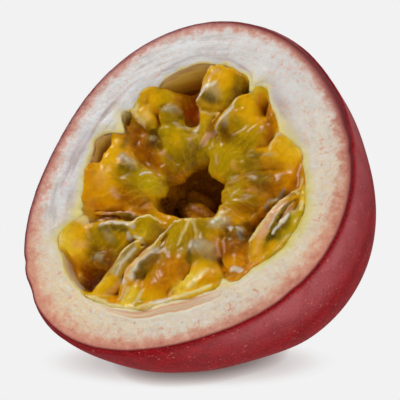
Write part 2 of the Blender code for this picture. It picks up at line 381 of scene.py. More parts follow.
# White flesh with softer grey and whiter patches, 2 to 4 mm across.
pith = add(tree, "Mix", MIX, Factor=cream, A=srgb("#efebe8"), B=srgb("#ffe4b2"))
soft = add(tree, "TexNoise", Vector=place, Scale=0.4, Detail=4.0, Roughness=0.6)
grey = add(tree, "MapRange", Value=soft, From_Min=0.45, From_Max=0.7, To_Max=0.5)
cells = add(tree, "TexNoise", Vector=place, Scale=1.3, Detail=4.0, Roughness=0.65)
white = add(tree, "MapRange", Value=cells, From_Min=0.5, From_Max=0.64, To_Max=0.65)
# Streaks that follow the rim where the pith is wet: painted bluish-white highlights and painted grey shade.
along = add(tree, "Mapping", Vector=turn, Scale=(0.14, 0.14, 0.8))
silk = add(tree, "TexNoise", Vector=along, Scale=1.0, Detail=4.0, Roughness=0.6)
painted_glint = add(tree, "MapRange", Value=silk, From_Min=0.52, From_Max=0.62, To_Max=0.85)
painted_grey_shade = add(tree, "MapRange", Value=silk, From_Min=0.48, From_Max=0.36, To_Max=0.7)
for pattern, share, colour in (
    (grey, 1.0, "#decec0"), (white, 1.0, "#f6f6f4"), (painted_glint, wet_and_glints, "#f4f8fa"), (painted_grey_shade, wet_and_glints, "#c8c0c0"),
    (mauve, 0.65, "#b08a8c"), (glassy, 0.8, "#c8b2aa"),
):
    share = add(tree, "Math", TIMES, _0=pattern, _1=share)
    pith = add(tree, "Mix", MIX, Factor=share, A=pith, B=srgb(colour))
# Fibres cut across: tan dashes about 1.2 by 0.35 mm, some along the rim and some across it, in clusters.
bend = add(tree, "TexNoise", Vector=place, Scale=1.1, Detail=3.0)
bend = add(tree, "VectorMath", {"operation": "SCALE"}, _0=bend.outputs["Color"], Scale=1.8)
fibres = 0.0
for stretch in ((0.55, 0.55, 1.7), (1.5, 1.5, 0.6)):
    laid = add(tree, "Mapping", Vector=turn, Scale=stretch)
    laid = add(tree, "VectorMath", PLUS, _0=laid, _1=bend)
    dash = add(tree, "TexVoronoi", Vector=laid, Scale=1.0)
    pick = add(tree, "SeparateColor", Color=dash.outputs["Color"])
    body = add(tree, "MapRange", SMOOTH, Value=dash.outputs["Distance"], From_Min=0.6, From_Max=0.1)
    some = add(tree, "MapRange", Value=pick.outputs[0], From_Min=0.45, From_Max=0.9)
    body = add(tree, "Math", TIMES, _0=body, _1=some)
    fibres = add(tree, "Math", MOST, _0=fibres, _1=body)
clusters = add(tree, "TexNoise", Vector=place, Scale=0.42, Detail=3.0, Roughness=0.6)
clusters = add(tree, "MapRange", SMOOTH, Value=clusters, From_Min=0.4, From_Max=0.62, To_Min=0.12)
drier = add(tree, "MapRange", Value=wet_and_glints, To_Min=1.0, To_Max=0.4)
thinner = add(tree, "MapRange", Value=blush, From_Min=0.8, From_Max=3.4, To_Min=1.0, To_Max=0.7)
for share in (clusters, drier, thinner):
    fibres = add(tree, "Math", TIMES, _0=fibres, _1=share)
tint = add(tree, "MapRange", Value=blush, From_Min=0.8, From_Max=2.2)
tint = add(tree, "ValToRGB", stops=((0.0, "#ea8c72"), (1.0, "#f6ae7c")), Fac=tint)
# The skin's colour runs into the pith in a ragged band, rosy or peach.
wander = add(tree, "TexNoise", Vector=place, Scale=0.55, Detail=6.0, Roughness=0.7)
wander = add(tree, "MapRange", Value=wander, From_Min=0.3, From_Max=0.7, To_Min=-0.36, To_Max=0.36)
inside = add(tree, "MapRange", Value=blush, From_Max=0.3)
wander = add(tree, "Math", TIMES, _0=wander, _1=inside)
blush = add(tree, "Math", PLUS, _0=blush, _1=wander)
rosy = add(tree, "ValToRGB", Fac=blush, stops=((0, "#a83c30"), (0.3, "#c66a56"), (0.65, "#dc9884"), (1, "#f0d4c8")))
peach = add(tree, "ValToRGB", Fac=blush, stops=((0, "#d6725c"), (0.3, "#ee9e82"), (0.65, "#f8c29e"), (1, "#fadcbc")))
rosy = add(tree, "Mix", MIX, Factor=salmon, A=rosy, B=peach)
blushed = add(tree, "MapRange", SMOOTH, Value=blush, From_Min=1.25, From_Max=0.4, To_Max=0.88)
# The skin's dark edge; where it is wide, at the upper right, it is also painted shade on the rounded rim.
rind = add(tree, "ValToRGB", stops=((0.0, "#5a0e16"), (0.5, "#7e2428"), (1.0, "#b0645c")), Fac=edge)
at_edge = add(tree, "MapRange", SMOOTH, Value=edge, From_Min=1.7, From_Max=0.6)
# Juice has stained the lip cream and yellow, with ragged patches of lime and pale tabs.
stain = add(tree, "MapRange", Value=lip, From_Min=-0.6, From_Max=1.4)
stain = add(tree, "ValToRGB", stops=((0.0, "#d8a83c"), (0.3, "#f0d478"), (0.6, "#f6e8a8"), (1.0, "#f2ead0")), Fac=stain)
stained = add(tree, "MapRange", SMOOTH, Value=lip, From_Min=1.6, From_Max=0.3, To_Max=0.95)
ragged = add(tree, "MapRange", Value=cells, From_Min=0.42, From_Max=0.6, To_Min=0.95, To_Max=0.5)
lime = add(tree, "Math", TIMES, _0=lime, _1=ragged)
ragged = add(tree, "MapRange", Value=cells, From_Min=0.42, From_Max=0.58, To_Min=1.0, To_Max=0.6)
tab = add(tree, "Math", TIMES, _0=tab, _1=ragged)
layer = add(tree, "MapRange", Value=band_at, From_Max=2.0)
bands = add(tree, "ValToRGB", stops=(
    (0.0, "#ffdc70"), (0.1, "#fff4c0"), (0.22, "#ffecb8"), (0.3, "#eabc94"), (0.4, "#dca488"), (0.52, "#ecc49c"),
    (0.68, "#eed0aa"), (0.76, "#f0b07c"), (0.84, "#fff4dc"), (1.0, "#f2e6cc"),
), Fac=layer)
shown = add(tree, "MapRange", Value=band_at, From_Min=2.1, From_Max=1.8)
shown = add(tree, "Math", TIMES, _0=shown, _1=banded)
for share, colour in (
    (fibres, tint), (blushed, rosy), (at_edge, rind), (stained, stain), (lime, srgb("#dccc44")), (tab, srgb("#ffec90")),
    (shown, bands),
):
    pith = add(tree, "Mix", MIX, Factor=share, A=pith, B=colour)
gloss = add(tree, "MapRange", Value=wet_and_glints, To_Min=0.42, To_Max=0.27)
rise = add(tree, "Math", TIMES, _0=cells, _1=0.9)
rise = add(tree, "Math", PLUS, _0=rise, _1=silk)
grain = add(tree, "Bump", Strength=0.6, Distance=0.00022, Height=rise)
flesh = add(tree, "BsdfPrincipled", Base_Color=pith, Roughness=gloss, IOR=1.38, Specular_IOR_Level=0.25, Normal=grain,
            Subsurface_Weight=0.12, Subsurface_Scale=0.001, Subsurface_Radius=(1.2, 0.7, 0.5))
add(tree, "OutputMaterial", Surface=flesh)

# The lining of the hollow: a smooth, tan and olive skin, darker and browner the deeper it lies. Light
# comes through it from the pale flesh behind.
lining_mat, tree = new_material("hollow_lining")
turn, down, cream, filled = (add(tree, "Attribute", {"attribute_name": name}).outputs[kind] for name, kind in (
    ("turn", VECTOR), ("from_lip", NUMBER), ("cream", NUMBER), ("filled", NUMBER)))
along = add(tree, "Mapping", Vector=turn, Scale=(0.12, 0.12, 1.6))
layers = add(tree, "TexNoise", Vector=along, Scale=1.0, Detail=3.0, Roughness=0.5)
shift = add(tree, "MapRange", Value=layers, From_Min=0.3, From_Max=0.7, To_Min=-0.9, To_Max=0.9)
depth = add(tree, "Math", PLUS, _0=down, _1=shift)
depth = add(tree, "MapRange", Value=depth, From_Min=0.0, From_Max=-9.0)
sides = add(tree, "ValToRGB", stops=(
    (0.0, "#dca868"), (0.08, "#d09a5c"), (0.2, "#e8c868"), (0.45, "#e4b43c"), (0.7, "#d08018"), (1.0, "#8a4206"),
), Fac=depth)
tan = add(tree, "ValToRGB", stops=((0.0, "#f0d898"), (0.3, "#e8cca8"), (0.7, "#c89470"), (1.0, "#8a4a38")), Fac=depth)
sides = add(tree, "Mix", MIX, Factor=cream, A=sides, B=tan)
close_to = add(tree, "MapRange", SMOOTH, Value=down, From_Min=-2.4, From_Max=-0.8)
close_to = add(tree, "Math", TIMES, _0=close_to, _1=filled)
sides = add(tree, "Mix", MIX, Factor=close_to, A=sides, B=srgb("#f0dc98"))
film_sheen = add(tree, "BsdfPrincipled", Base_Color=sides, Roughness=0.3, IOR=1.38, Subsurface_Weight=0.3,
           Subsurface_Scale=0.001, Subsurface_Radius=(2.0, 1.2, 0.3))
add(tree, "OutputMaterial", Surface=film_sheen)

for finish in (skin_mat, pith_mat, lining_mat):
    shell.data.materials.append(finish)
slots = np.zeros(len(shell.data.polygons), np.int32)
for index, polygon in enumerate(shell.data.polygons):
    high = max(ring[corner] for corner in polygon.vertices)
    slots[index] = 2 if high <= face_start else (1 if high <= skin_start else 0)
shell.data.polygons.foreach_set("material_index", slots)
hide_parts("shell")
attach(shell, "root")

# ---------------------------------------------------------------------------------------------
# The pulp. Juice sacs hang from the wall towards the open middle, each a wet bag of amber juice
# round one seed. The knife has squashed them together, so they run into one another over a bed
# that fills the hollow, and the torn membranes between them stand up as thin pale ridges.
# ---------------------------------------------------------------------------------------------
# Each form is the skin stretched round a few balls. A ball is (across, up, top, radius, tone):
# across and up from the fruit's axis, top over the cut face, in mm. The tone runs from
# 0, brown, over 1, orange, 2, amber, and 3, olive yellow, to 4, bright yellow.
SAC_FORMS = (
    # The top sac: a broad block hung from the rim, and its neck down towards the middle.
    ((-5, 22.6, -0.7, 1.2, 3), (-1.4, 22.4, -1, 1.4, 1.8), (-5, 18.4, -0.5, 1, 2.6), (-1.3, 18.8, -1.3, 1.8, 1.8),
     (-4.5, 15.8, -1.5, 1.2, 2.8), (-2.2, 15.8, -1.9, 1.4, 2.4)),
    ((-3.8, 15, -1.8, 1.5, 2.8), (-2.9, 12.2, -2.4, 1.5, 2.9), (-2.2, 9.4, -2.8, 1.4, 3)),
    # The big sac right of it: a sharp ridge on its left, a wide crown, and a blunt tip over the hole.
    ((3.9, 19.8, -1.2, 0.9, 3), (1.9, 18.3, -1, 0.7, 2.8), (0.6, 15.3, -0.9, 0.6, 2.6), (3.6, 18.4, -1.3, 1.5, 3),
     (4.8, 15.2, -1.4, 2.4, 2.4)),
    ((0.6, 15.3, -0.9, 0.6, 2.6), (-0.3, 12.6, -1.6, 0.7, 2.8), (5, 14.8, -1.4, 2.4, 2.4),
     (3.2, 11.4, -1.6, 2.6, 2.6)),
    ((5, 15.2, -1.4, 2.2, 2.4), (8.6, 13.6, -1.5, 2.3, 1.4), (3.2, 11.4, -1.7, 2.6, 2.6), (6.6, 10.8, -2, 2.4, 2.4)),
    ((3.2, 11, -1.8, 2.6, 2.8), (6.2, 10, -2.2, 2.2, 2.6), (1.8, 7.8, -2.2, 2.2, 3), (1.7, 6.2, -3, 1.9, 3.2),
     (3.8, 5.4, -3, 1.8, 3), (6, 6.6, -2.6, 2, 2.8)),
    ((10, 14.4, -0.8, 1.2, 0.8), (9, 12.6, -1.6, 1.6, 1)),
    # The sacs on the right, side by side.
    ((12.4, 12.2, -1, 1.4, 2.4), (15.4, 11.2, -0.8, 1.6, 2), (16.8, 9.2, -1, 1.8, 1.4), (12.4, 9.8, -1.4, 2.2, 2.2)),
    ((12.4, 9.8, -1.4, 2.2, 2), (9.2, 9.2, -1.8, 2.3, 2.4), (6.8, 6.6, -2.7, 2, 2.8)),
    ((18.4, 7.4, -1.2, 1.7, 1.4), (17.4, 4.8, -1.5, 1.9, 1.2), (13, 4.9, -1.7, 2.4, 2)),
    ((13.4, 5.4, -1.7, 2.3, 2), (9.2, 4.6, -2.3, 2.2, 2.4), (6.4, 3.2, -2.8, 1.7, 2.8)),
    ((14.2, 2.2, -2, 1.4, 1.4), (12, 1.2, -2.1, 2, 2), (6.6, 1.6, -2.6, 1.6, 2.8), (7.6, -0.6, -2.6, 1.4, 2.4)),
    # The small clear sac at the right rim.
    ((21.4, -0.4, -0.4, 1.1, 3), (20.9, -3, -0.5, 1.5, 3), (19.8, -5.8, -1, 1.4, 3), (19, -7.4, -1.4, 1.3, 2.4)),
    ((20, 3.2, -0.4, 0.5, 2.6), (18.6, 1, -0.35, 0.6, 2.6), (17.9, -2, -0.4, 1, 2.6)),
    ((17.9, -2, -0.4, 1, 2.6), (17.4, -4.2, -0.5, 1.2, 2.6), (17.1, -6.2, -0.8, 1.4, 2.4), (17.7, -8.2, -1, 1.5, 2.2)),
    # The sacs at the lower right.
    ((7.3, -1.7, -2.1, 1.2, 2.8), (7.3, -4, -1.6, 0.8, 3), (11, -3, -2.1, 1.9, 2.2), (11.2, -5.6, -1.5, 1.8, 2)),
    ((10.8, -5.6, -1.6, 1.8, 2), (13.4, -6, -1.8, 1.8, 1.2), (13, -9.4, -1.5, 2.2, 1), (16.8, -9.8, -1.4, 1.8, 1),
     (15, -11.8, -1, 2, 1.2)),
    ((4.6, -6, -1.6, 0.6, 3), (7.6, -10, -0.8, 2.3, 2.6), (9.8, -8.6, -1.4, 1.5, 2.4), (5.6, -12, -1.6, 1.6, 2.4)),
    ((8, -11.6, -1.4, 1.9, 2.2), (10.4, -13.2, -1.1, 1.7, 2.8), (12.4, -14.2, -0.7, 1.3, 3.2),
     (9.8, -15.8, -0.7, 1.5, 4), (8.4, -17.4, -0.8, 1.2, 4)),
    # The fat orange sac at the bottom, its two peaks standing up by the hole.
    ((0.4, -6.5, -1.1, 0.5, 3), (3, -5.4, -1.2, 0.6, 3), (4.8, -10.6, -1.7, 1.8, 2.6), (0.8, -11, -1.5, 1.6, 2.8)),
    ((3, -5.4, -1.4, 0.6, 3), (6.6, -4.3, -1.9, 0.8, 2.6), (8.6, -6, -1.8, 1.4, 2.4), (5, -10, -1.9, 1.8, 2.4)),
    ((1.2, -11, -1.6, 1.6, 2.6), (4.8, -11.4, -1.6, 1.9, 2.2), (0.2, -14.8, -0.7, 2, 2.2),
     (3.6, -15.4, -0.3, 2.8, 1.2)),
    ((0.4, -15, -0.8, 2, 1.8), (3.6, -15.4, -0.3, 2.8, 1.2), (2.2, -19.4, -0.2, 2.6, 1.2), (5, -18.2, -0.5, 2.2, 1),
     (0.8, -22, -0.8, 1.5, 2.4), (4.2, -21, -0.8, 1.5, 2)),
    ((-1.2, -18.6, -1, 1.3, 2.4), (-1.4, -22.6, -0.8, 1.3, 4), (0.4, -21.8, -0.9, 1.3, 3.4)),
    # Two slack, folded sacs lying over its left side.
    ((-5.2, -11.6, -1.1, 0.7, 3), (-6.6, -14.6, -0.8, 0.8, 2.8), (-4.6, -13.4, -1.4, 0.7, 2.8),
     (-6, -17.2, -0.8, 1.1, 2.8)),
    ((-6.8, -16.8, -0.8, 1, 2.8), (-6.4, -20.2, -0.9, 1.4, 3.2), (-8.4, -23, -1, 1, 3.2),
     (-7.6, -19.6, -1.2, 1.2, 3.2)),
    ((-1.2, -11, -1, 0.5, 3), (-2.8, -13.8, -0.7, 0.6, 2.6), (-4.2, -17.2, -0.6, 0.6, 2.6),
     (-3.4, -18.6, -1, 1.2, 1.6), (-3.2, -22.4, -1.2, 1.4, 1.6)),
    # The wide sac at the lower left, with a peak by the hole.
    ((-20.2, -13.4, -0.8, 1.3, 2.2), (-18, -15.9, -1, 1.6, 2.2), (-16.8, -12.8, -1.1, 1.9, 2.2),
     (-14, -16, -1.7, 2.2, 1.8)),
    ((-20.6, -12.2, -0.4, 1, 2.8), (-19.4, -9.8, -0.35, 0.9, 2.8), (-17.4, -10.4, -0.6, 1, 2.4),
     (-18.4, -13, -0.9, 1.6, 2.4)),
    ((-16.8, -12.4, -1.2, 1.6, 2.4), (-13.2, -10.6, -0.7, 1.3, 2.8), (-8.2, -9.4, -0.9, 1.2, 3),
     (-9.6, -12.8, -1.4, 1.9, 2.6), (-13.6, -13.6, -1.5, 1.9, 2.4)),
    ((-13.6, -14.6, -1.7, 2, 2), (-10.6, -15.4, -1.9, 2.2, 1.6), (-8.8, -12.8, -1.5, 1.6, 2.6),
     (-9, -16.6, -2.4, 1.2, 1.6)),
    ((-8.4, -9.8, -1.1, 1.1, 3), (-5, -7.3, -0.9, 0.9, 3), (-4.4, -10, -1.7, 1.4, 2.8), (-2.8, -8.4, -2.4, 1, 2.4)),
    # The big sac on the left.
    ((-18.3, 6, -1.4, 0.8, 2.4), (-17.8, 2.4, -1.4, 1.4, 2), (-19, -2.4, -1, 1.4, 1.6), (-14.6, 2, -1.4, 2, 2.2),
     (-15, -2.4, -1.4, 2.4, 1.6), (-16.8, 5.6, -2, 1.2, 2.2)),
    ((-19.2, -2.4, -1, 1.5, 1.4), (-18.4, -6.4, -1.4, 1.6, 1.2), (-15, -2.4, -1.5, 2.2, 1.6),
     (-14, -5, -2.2, 2.2, 1.2)),
    ((-14.6, 1.8, -1.4, 2, 2.2), (-14.6, -2.4, -1.5, 2.4, 2), (-9.8, 0, -1.6, 2, 2.8), (-10, -3, -2.2, 2.2, 2.2)),
    ((-9.8, 0, -1.7, 2, 3), (-10.4, -2.4, -2.3, 1.5, 2.4), (-6.9, -0.8, -1.8, 1.7, 3.4)),
    ((-13.8, -4.8, -2.8, 1.6, 1), (-9, -5.2, -3.2, 1.3, 1), (-3.4, -7.4, -3.6, 1.2, 1.6)),
    # The hollow place above it, its sacs burst and low.
    ((-17.6, 8, -3.4, 1.8, 1), (-13.6, 7, -3, 1.9, 0.8), (-14.8, 5.2, -3, 1.6, 0.8)),
    ((-13, 6.8, -3, 2, 0.8), (-10, 4.8, -3, 2.1, 1), (-8, 2.4, -3.3, 2, 1.4), (-5.8, 3.4, -3.5, 1.8, 1.4)),
    ((-8, 2.6, -3.3, 2, 1.4), (-4.3, 5, -3.6, 1.4, 1.4), (-6, 2.8, -4, 1.3, 0.8), (-7.2, 1.2, -4.2, 1, 0.4)),
    # The cluster of small sacs at the upper left.
    ((-15.6, 12.4, -0.9, 1.4, 3.4), (-14, 10.7, -1.1, 1.4, 3.2), (-16.4, 11.2, -1.2, 0.8, 3.4)),
    ((-14.9, 15.2, -0.8, 1.9, 2.6), (-14, 14.2, -1, 1.7, 2.6)),
    ((-13.6, 16.2, -1.2, 1.5, 2.2), (-11.3, 15.6, -1.7, 1.6, 1.8), (-10.2, 14, -2.2, 1.2, 1.6)),
    ((-10.7, 12.6, -0.9, 2, 2.8), (-9.2, 11.8, -1.5, 1.5, 2.8)),
    ((-10.4, 9.8, -1.7, 1.4, 3.2), (-7.6, 10.2, -1.9, 1.2, 3.2), (-8.4, 7.8, -2.4, 1.6, 3)),
    ((-7.4, 9.4, -2.1, 1.3, 3.2), (-4.4, 9.2, -2.3, 1.2, 3.2), (-5.2, 6.8, -3, 1.6, 3), (-8.6, 6.4, -2.8, 1.5, 2.6)),
    # Deep in the open middle: a ledge, and the backs of two sacs on the floor.
    ((-6, 5.8, -3.4, 1.6, 2), (-3.8, 6.6, -3.6, 1.5, 2), (-4.3, 5, -3.7, 1.3, 1.2)),
    ((-3.6, 8, -3.4, 1.4, 2.4), (-1.8, 7.8, -3.7, 1.5, 2.2), (-2.9, 6.8, -4.6, 1.4, 1.2), (-4.3, 5.8, -4.4, 1.3, 1)),
    ((-4.6, -0.6, -8.2, 1.5, 0.6), (-2.4, -1.8, -7, 1.6, 0.8), (0.6, -4, -6, 1.6, 1)),
    ((-1.4, -1.2, -7, 1.7, 1.2), (1.4, -2.2, -7, 1.7, 0.9), (3.6, -3, -7.2, 1.6, 0.7)),
    ((-4, 1.6, -9, 1.6, 0.5), (-1, 1, -9.4, 1.6, 0.5)),
)
# Strap-like membranes left from torn sacs: (across, up, top, radius) along each.
MEMBRANES = (
    ((20.4, 4.2, -0.3, 0.26), (18.1, 1.2, -0.2, 0.24), (16.6, -3, -0.4, 0.24), (15.6, -6.8, -0.8, 0.26)),
    ((20.8, 3.2, -0.3, 0.26), (19.4, 0.8, -0.2, 0.24), (18.8, -2.6, -0.3, 0.24), (18.4, -5.6, -0.7, 0.24)),
    ((0.3, -6.4, -1, 0.3), (-0.6, -8.6, -1.1, 0.26), (-1.5, -11, -1, 0.3)),
    ((-1.2, -11, -1, 0.3), (-2.8, -13.8, -0.6, 0.26), (-4.2, -17.2, -0.5, 0.26), (-4, -19.4, -0.8, 0.5)),
    ((-5.2, -11.6, -1, 0.3), (-6.7, -14.6, -0.7, 0.26), (-7.4, -17, -0.8, 0.26)),
    ((-3.6, -12.2, -1.3, 0.26), (-5.2, -14.4, -1, 0.24), (-5.6, -17.6, -0.8, 0.26)),
    ((-17.2, -8.4, -2.2, 0.3), (-11.6, -7.2, -2, 0.3), (-8.2, -7.4, -2.2, 0.34)),
    ((-8.4, -9.4, -1, 0.3), (-6.4, -7.4, -0.8, 0.3), (-4.9, -6.5, -0.9, 0.34), (-3.4, -7.2, -1.4, 0.34)),
    ((3.9, 19.8, -1, 0.3), (1.9, 18.3, -0.8, 0.26), (0.5, 15.2, -0.7, 0.26), (-0.5, 12.6, -1.4, 0.3)),
    ((-1, 15.2, -1.7, 0.26), (-1.8, 13.2, -1.9, 0.24)), ((-1.9, 10.8, -2.3, 0.24), (-2.6, 8.8, -2.7, 0.26)),
    ((7, -15.2, -1, 0.26), (6.7, -18, -1, 0.26), (4.6, -21, -1, 0.3)),
    ((10.9, -13.6, -0.9, 0.24), (9.6, -16.2, -0.5, 0.26)),
    ((-18, 13, -1, 0.3), (-17.2, 10.9, -1.2, 0.26), (-15.4, 9.8, -1.3, 0.26)),
    ((-6, 23, -0.5, 0.34), (-6.2, 20.4, -0.6, 0.3), (-5.7, 18.4, -0.6, 0.3), (-5.8, 16, -1.4, 0.3)),
    ((2.9, -5.2, -1.1, 0.26), (2.6, -9.4, -1.5, 0.26)), ((7, -3.9, -1.6, 0.3), (9, -1.6, -1.9, 0.3)),
    ((12.4, 10.6, -1.1, 0.26), (12.2, 12.8, -0.9, 0.4), (13.6, 13.4, -0.8, 0.4)),
    ((-19.6, -10.2, -0.6, 0.4), (-17.2, -10.8, -0.9, 0.34), (-15.6, -13, -1.1, 0.26)),
)
# Seeds just under the skin: (across, up, top, heading in degrees, length, width).
SEEDS = (
    (-4.7, 17.4, -0.2, 70, 4.8, 2.4), (1.3, 13.7, -0.6, 62, 5.2, 2.4), (-10.7, 12.8, -0.3, 20, 4.2, 3.6),
    (-13, 7.4, -2, 60, 3, 2.6), (-13.4, 2, -0.7, 160, 5, 2.2), (9.6, 8.6, -1.2, 15, 5, 2.6),
    (13.4, 4.8, -1.1, 15, 4.6, 2.4), (15.3, 0.9, -2.4, 48, 5.4, 2), (20.4, -2.4, 0, 70, 5.6, 2),
    (12, -5.2, -0.9, 15, 4.4, 2.4), (7.2, -10, -0.2, 45, 4.8, 3.4), (-1.4, -15.4, 0.2, 62, 5.6, 2.2),
    (-11.2, -10.2, -0.3, 12, 5.8, 2.2), (-10.8, -16.2, -1.3, 10, 4.6, 2.8), (-9.4, -7, -2.2, 8, 4.6, 1.6),
    (12.8, -8.2, -1, 60, 3.4, 2.2),
)
BED_HEIGHT = -3.3
BED_AT_WALL = -0.5
# Where the bed lies lower: (across, up, across, up, half width, height), from one place to another.
BED_HOLLOWS = (
    (-4, 4.6, 3.4, 0.8, 3.4, -12.5), (-4.4, -2.4, 3.8, -2.6, 2, -10), (-4.4, 2.4, -4.8, -2.4, 1.7, -11.5),
    (-12.8, 19.8, -8.6, 21.8, 2.6, -9), (-8.9, 18.4, -6.8, 13.6, 1.7, -5.6), (6.5, 18.4, 7.2, 17.4, 0.8, -5.5),
    (1.7, 20.6, 2, 20.2, 0.8, -5), (-21.5, 6, -21.1, 2.2, 1.9, -5.4), (-21.8, 1.4, -22.3, -2.6, 1.2, -4),
    (-14.2, -19.2, -9.6, -19.9, 2.3, -4.8), (-17.4, -17.7, -13.8, -20.4, 1.1, -3.4),
    (-18.8, 10.4, -17.8, 9.4, 0.8, -3.4), (13.6, -3.6, 15.8, 1, 0.9, -5), (-16, -7.6, -7, -6.2, 0.7, -4.6),
)
BED_LOWEST = -13.0
BED_LUMPS = 0.4
# The bed's top takes this share of its ball, and its edge is pressed this far into the wall.
BED_TOP_SHARE = 0.6
BED_INTO_WALL = 0.4
PULP_VOXEL = 0.24
SMOOTH_ROUNDS = 9
# Below this height nothing of the pulp can be seen, nor below the other one inside the wall.
UNSEEN_BELOW = -11.0
UNSEEN_IN_WALL = -2.5
FACES_KEPT = 0.515


def join(pieces, name):
    start_clean()
    for piece in pieces:
        piece.select_set(True)
    bpy.context.view_layer.objects.active = pieces[0]
    bpy.ops.object.join()
    joined = bpy.context.object
    joined.name = name
    joined.data.name = name
    return joined


def finish_modifier(item, kind, **settings):
    start_clean()
    item.select_set(True)
    bpy.context.view_layer.objects.active = item
    modifier = item.modifiers.new(kind.lower(), kind)
    for key, value in settings.items():
        setattr(modifier, key, value)
    bpy.ops.object.modifier_apply(modifier=modifier.name)


def stretched(balls, name, detail=3):
    """A closed skin stretched round balls of (across, up, top, radius)."""
    start_clean()
    for index, ball in enumerate(balls):
        x, y, high, thick = ball[:4]
        bpy.ops.mesh.primitive_ico_sphere_add(subdivisions=detail, radius=thick, location=(x, y, high - thick))
        if index == 0:
            bpy.ops.object.transform_apply(location=True, rotation=False, scale=False)
            bpy.ops.object.mode_set(mode="EDIT")
    bpy.ops.mesh.select_all(action="SELECT")
    bpy.ops.mesh.convex_hull()
    bpy.ops.object.mode_set(mode="OBJECT")
    piece = bpy.context.object
    piece.name = name
    return piece


def smooth_step(value, low, high):
    share = np.clip((value - low) / (high - low), 0.0, 1.0)
    return share * share * (3.0 - 2.0 * share)


def line_gap(points, ax, ay, bx, by):
    """How far points lie, across the face, from a straight line between two places."""
    along = np.array([bx - ax, by - ay])
    share = np.clip(((points[:, 0] - ax) * along[0] + (points[:, 1] - ay) * along[1]) / max(1e-9, along @ along), 0, 1)
    return np.hypot(points[:, 0] - ax - share * along[0], points[:, 1] - ay - share * along[1])


# The bed: a ball pressed into the hollow's shape, its top low where nothing fills the hollow.
start_clean()
bpy.ops.mesh.primitive_uv_sphere_add(segments=150, ring_count=130, radius=1.0)
bed = bpy.context.object
ball = corners(bed)
angle = np.arctan2(ball[:, 1], ball[:, 0])
share = (0.5 * np.pi - np.arcsin(np.clip(ball[:, 2], -1, 1))) / np.pi
top = share <= BED_TOP_SHARE
out = np.where(top, share / BED_TOP_SHARE, 1.0)
turn = np.where(top, 0.0, (share - BED_TOP_SHARE) / (1.0 - BED_TOP_SHARE))
start = -BED_HEIGHT / HOLLOW_DEPTH
flat = np.c_[np.cos(angle), np.sin(angle)] * (hollow_radius(angle, start) * out)[:, None]
from_wall = hollow_radius(angle, start) * (1.0 - out)
level = BED_HEIGHT + (BED_AT_WALL - BED_HEIGHT) * (1.0 - smooth_step(from_wall, 0.4, 4.2))
level = level + BED_LUMPS * lumps(np.c_[flat, np.zeros(len(flat))], 3.0, 8)
for ax, ay, bx, by, half, low in BED_HOLLOWS:
    level = level + (low - level) * (1.0 - smooth_step(line_gap(flat, ax, ay, bx, by), 0.8 * half, 1.2 * half))
level = np.maximum(level, BED_LOWEST)
first_down = -level / HOLLOW_DEPTH
down = np.sin(np.arcsin(first_down) + (0.5 * np.pi - np.arcsin(first_down)) * turn)
reach = (hollow_radius(angle, down) + BED_INTO_WALL) * out
set_corners(bed, np.c_[reach * np.cos(angle), reach * np.sin(angle), -HOLLOW_DEPTH * down])

forms = [bed] + [stretched(form, "sac") for form in SAC_FORMS]
for x, y, level, heading, length, width in SEEDS:
    dx, dy = (0.5 * (length - width) * turned(math.radians(heading)) for turned in (math.cos, math.sin))
    thick, high = 0.4 * width, level - 0.1 * width
    balls = (x - dx, y - dy, high, thick), (x, y, level, 0.5 * width), (x + dx, y + dy, high, thick)
    forms.append(stretched(balls, "seed_bulge"))
for strand in MEMBRANES:
    forms += [stretched(pair, "membrane", 2) for pair in zip(strand, strand[1:])]
pulp = join(forms, "pulp_sacs")
finish_modifier(pulp, "REMESH", mode="VOXEL", voxel_size=PULP_VOXEL, adaptivity=0.0)
finish_modifier(pulp, "SMOOTH", factor=0.5, iterations=SMOOTH_ROUNDS)
# The part sunk in the wall, and what lies far below the open middle, is out of sight and needs few faces.
points = corners(pulp)
wall = hollow_radius(np.arctan2(points[:, 1], points[:, 0]), np.clip(-points[:, 2] / HOLLOW_DEPTH, 0, 1))
in_wall = (points[:, 2] < UNSEEN_IN_WALL) & (np.hypot(points[:, 0], points[:, 1]) - wall > 0.1)
unseen = in_wall | (points[:, 2] < UNSEEN_BELOW)
pulp.vertex_groups.new(name="unseen").add(np.nonzero(unseen)[0].tolist(), 1.0, "REPLACE")
finish_modifier(pulp, "DECIMATE", ratio=FACES_KEPT, vertex_group="unseen")
pulp.vertex_groups.clear()
points = corners(pulp)
normals = np.empty(len(points) * 3)
pulp.data.vertices.foreach_get("normal", normals)
normals = normals.reshape(-1, 3)

# The wet skins pucker: fine wrinkles that run from the rim to the middle, and soft dimples.
x, y, z = points.T
polar = np.c_[np.arctan2(y, x) * 14.0, np.hypot(x, y) * 0.35, z * 0.6]
warp = 1.2 * np.c_[lumps(points, 2.5, 31), lumps(points, 2.5, 32), lumps(points, 2.5, 33)]
folds = 1.0 - np.abs(lumps(polar + warp, 2.2, 14)) * 2.2
relief = 0.22 * lumps(points, 2.4, 11) + 0.06 * lumps(polar, 0.9, 12) + 0.015 * lumps(points, 0.7, 13)
relief += 0.16 * np.clip(folds, 0, 1) ** 4
upper = smooth_step(points[:, 2], -14.0, -6.0)
points = points + normals * (relief * upper)[:, None]

edges = np.empty(len(pulp.data.edges) * 2, np.int64)
pulp.data.edges.foreach_get("vertices", edges)
edges = edges.reshape(-1, 2)
touching = np.bincount(edges.ravel(), minlength=len(points))[:, None]


def relaxed(values, rounds):
    """Values spread between neighbouring corners, again and again."""
    values = values if values.ndim == 2 else values[:, None]
    for _ in range(rounds):
        total = np.zeros_like(values)
        for column in range(values.shape[1]):
            total[:, column] = (
                np.bincount(edges[:, 0], values[edges[:, 1], column], len(values))
                + np.bincount(edges[:, 1], values[edges[:, 0], column], len(values))
            )
        values = 0.5 * values + 0.5 * total / touching
    return values


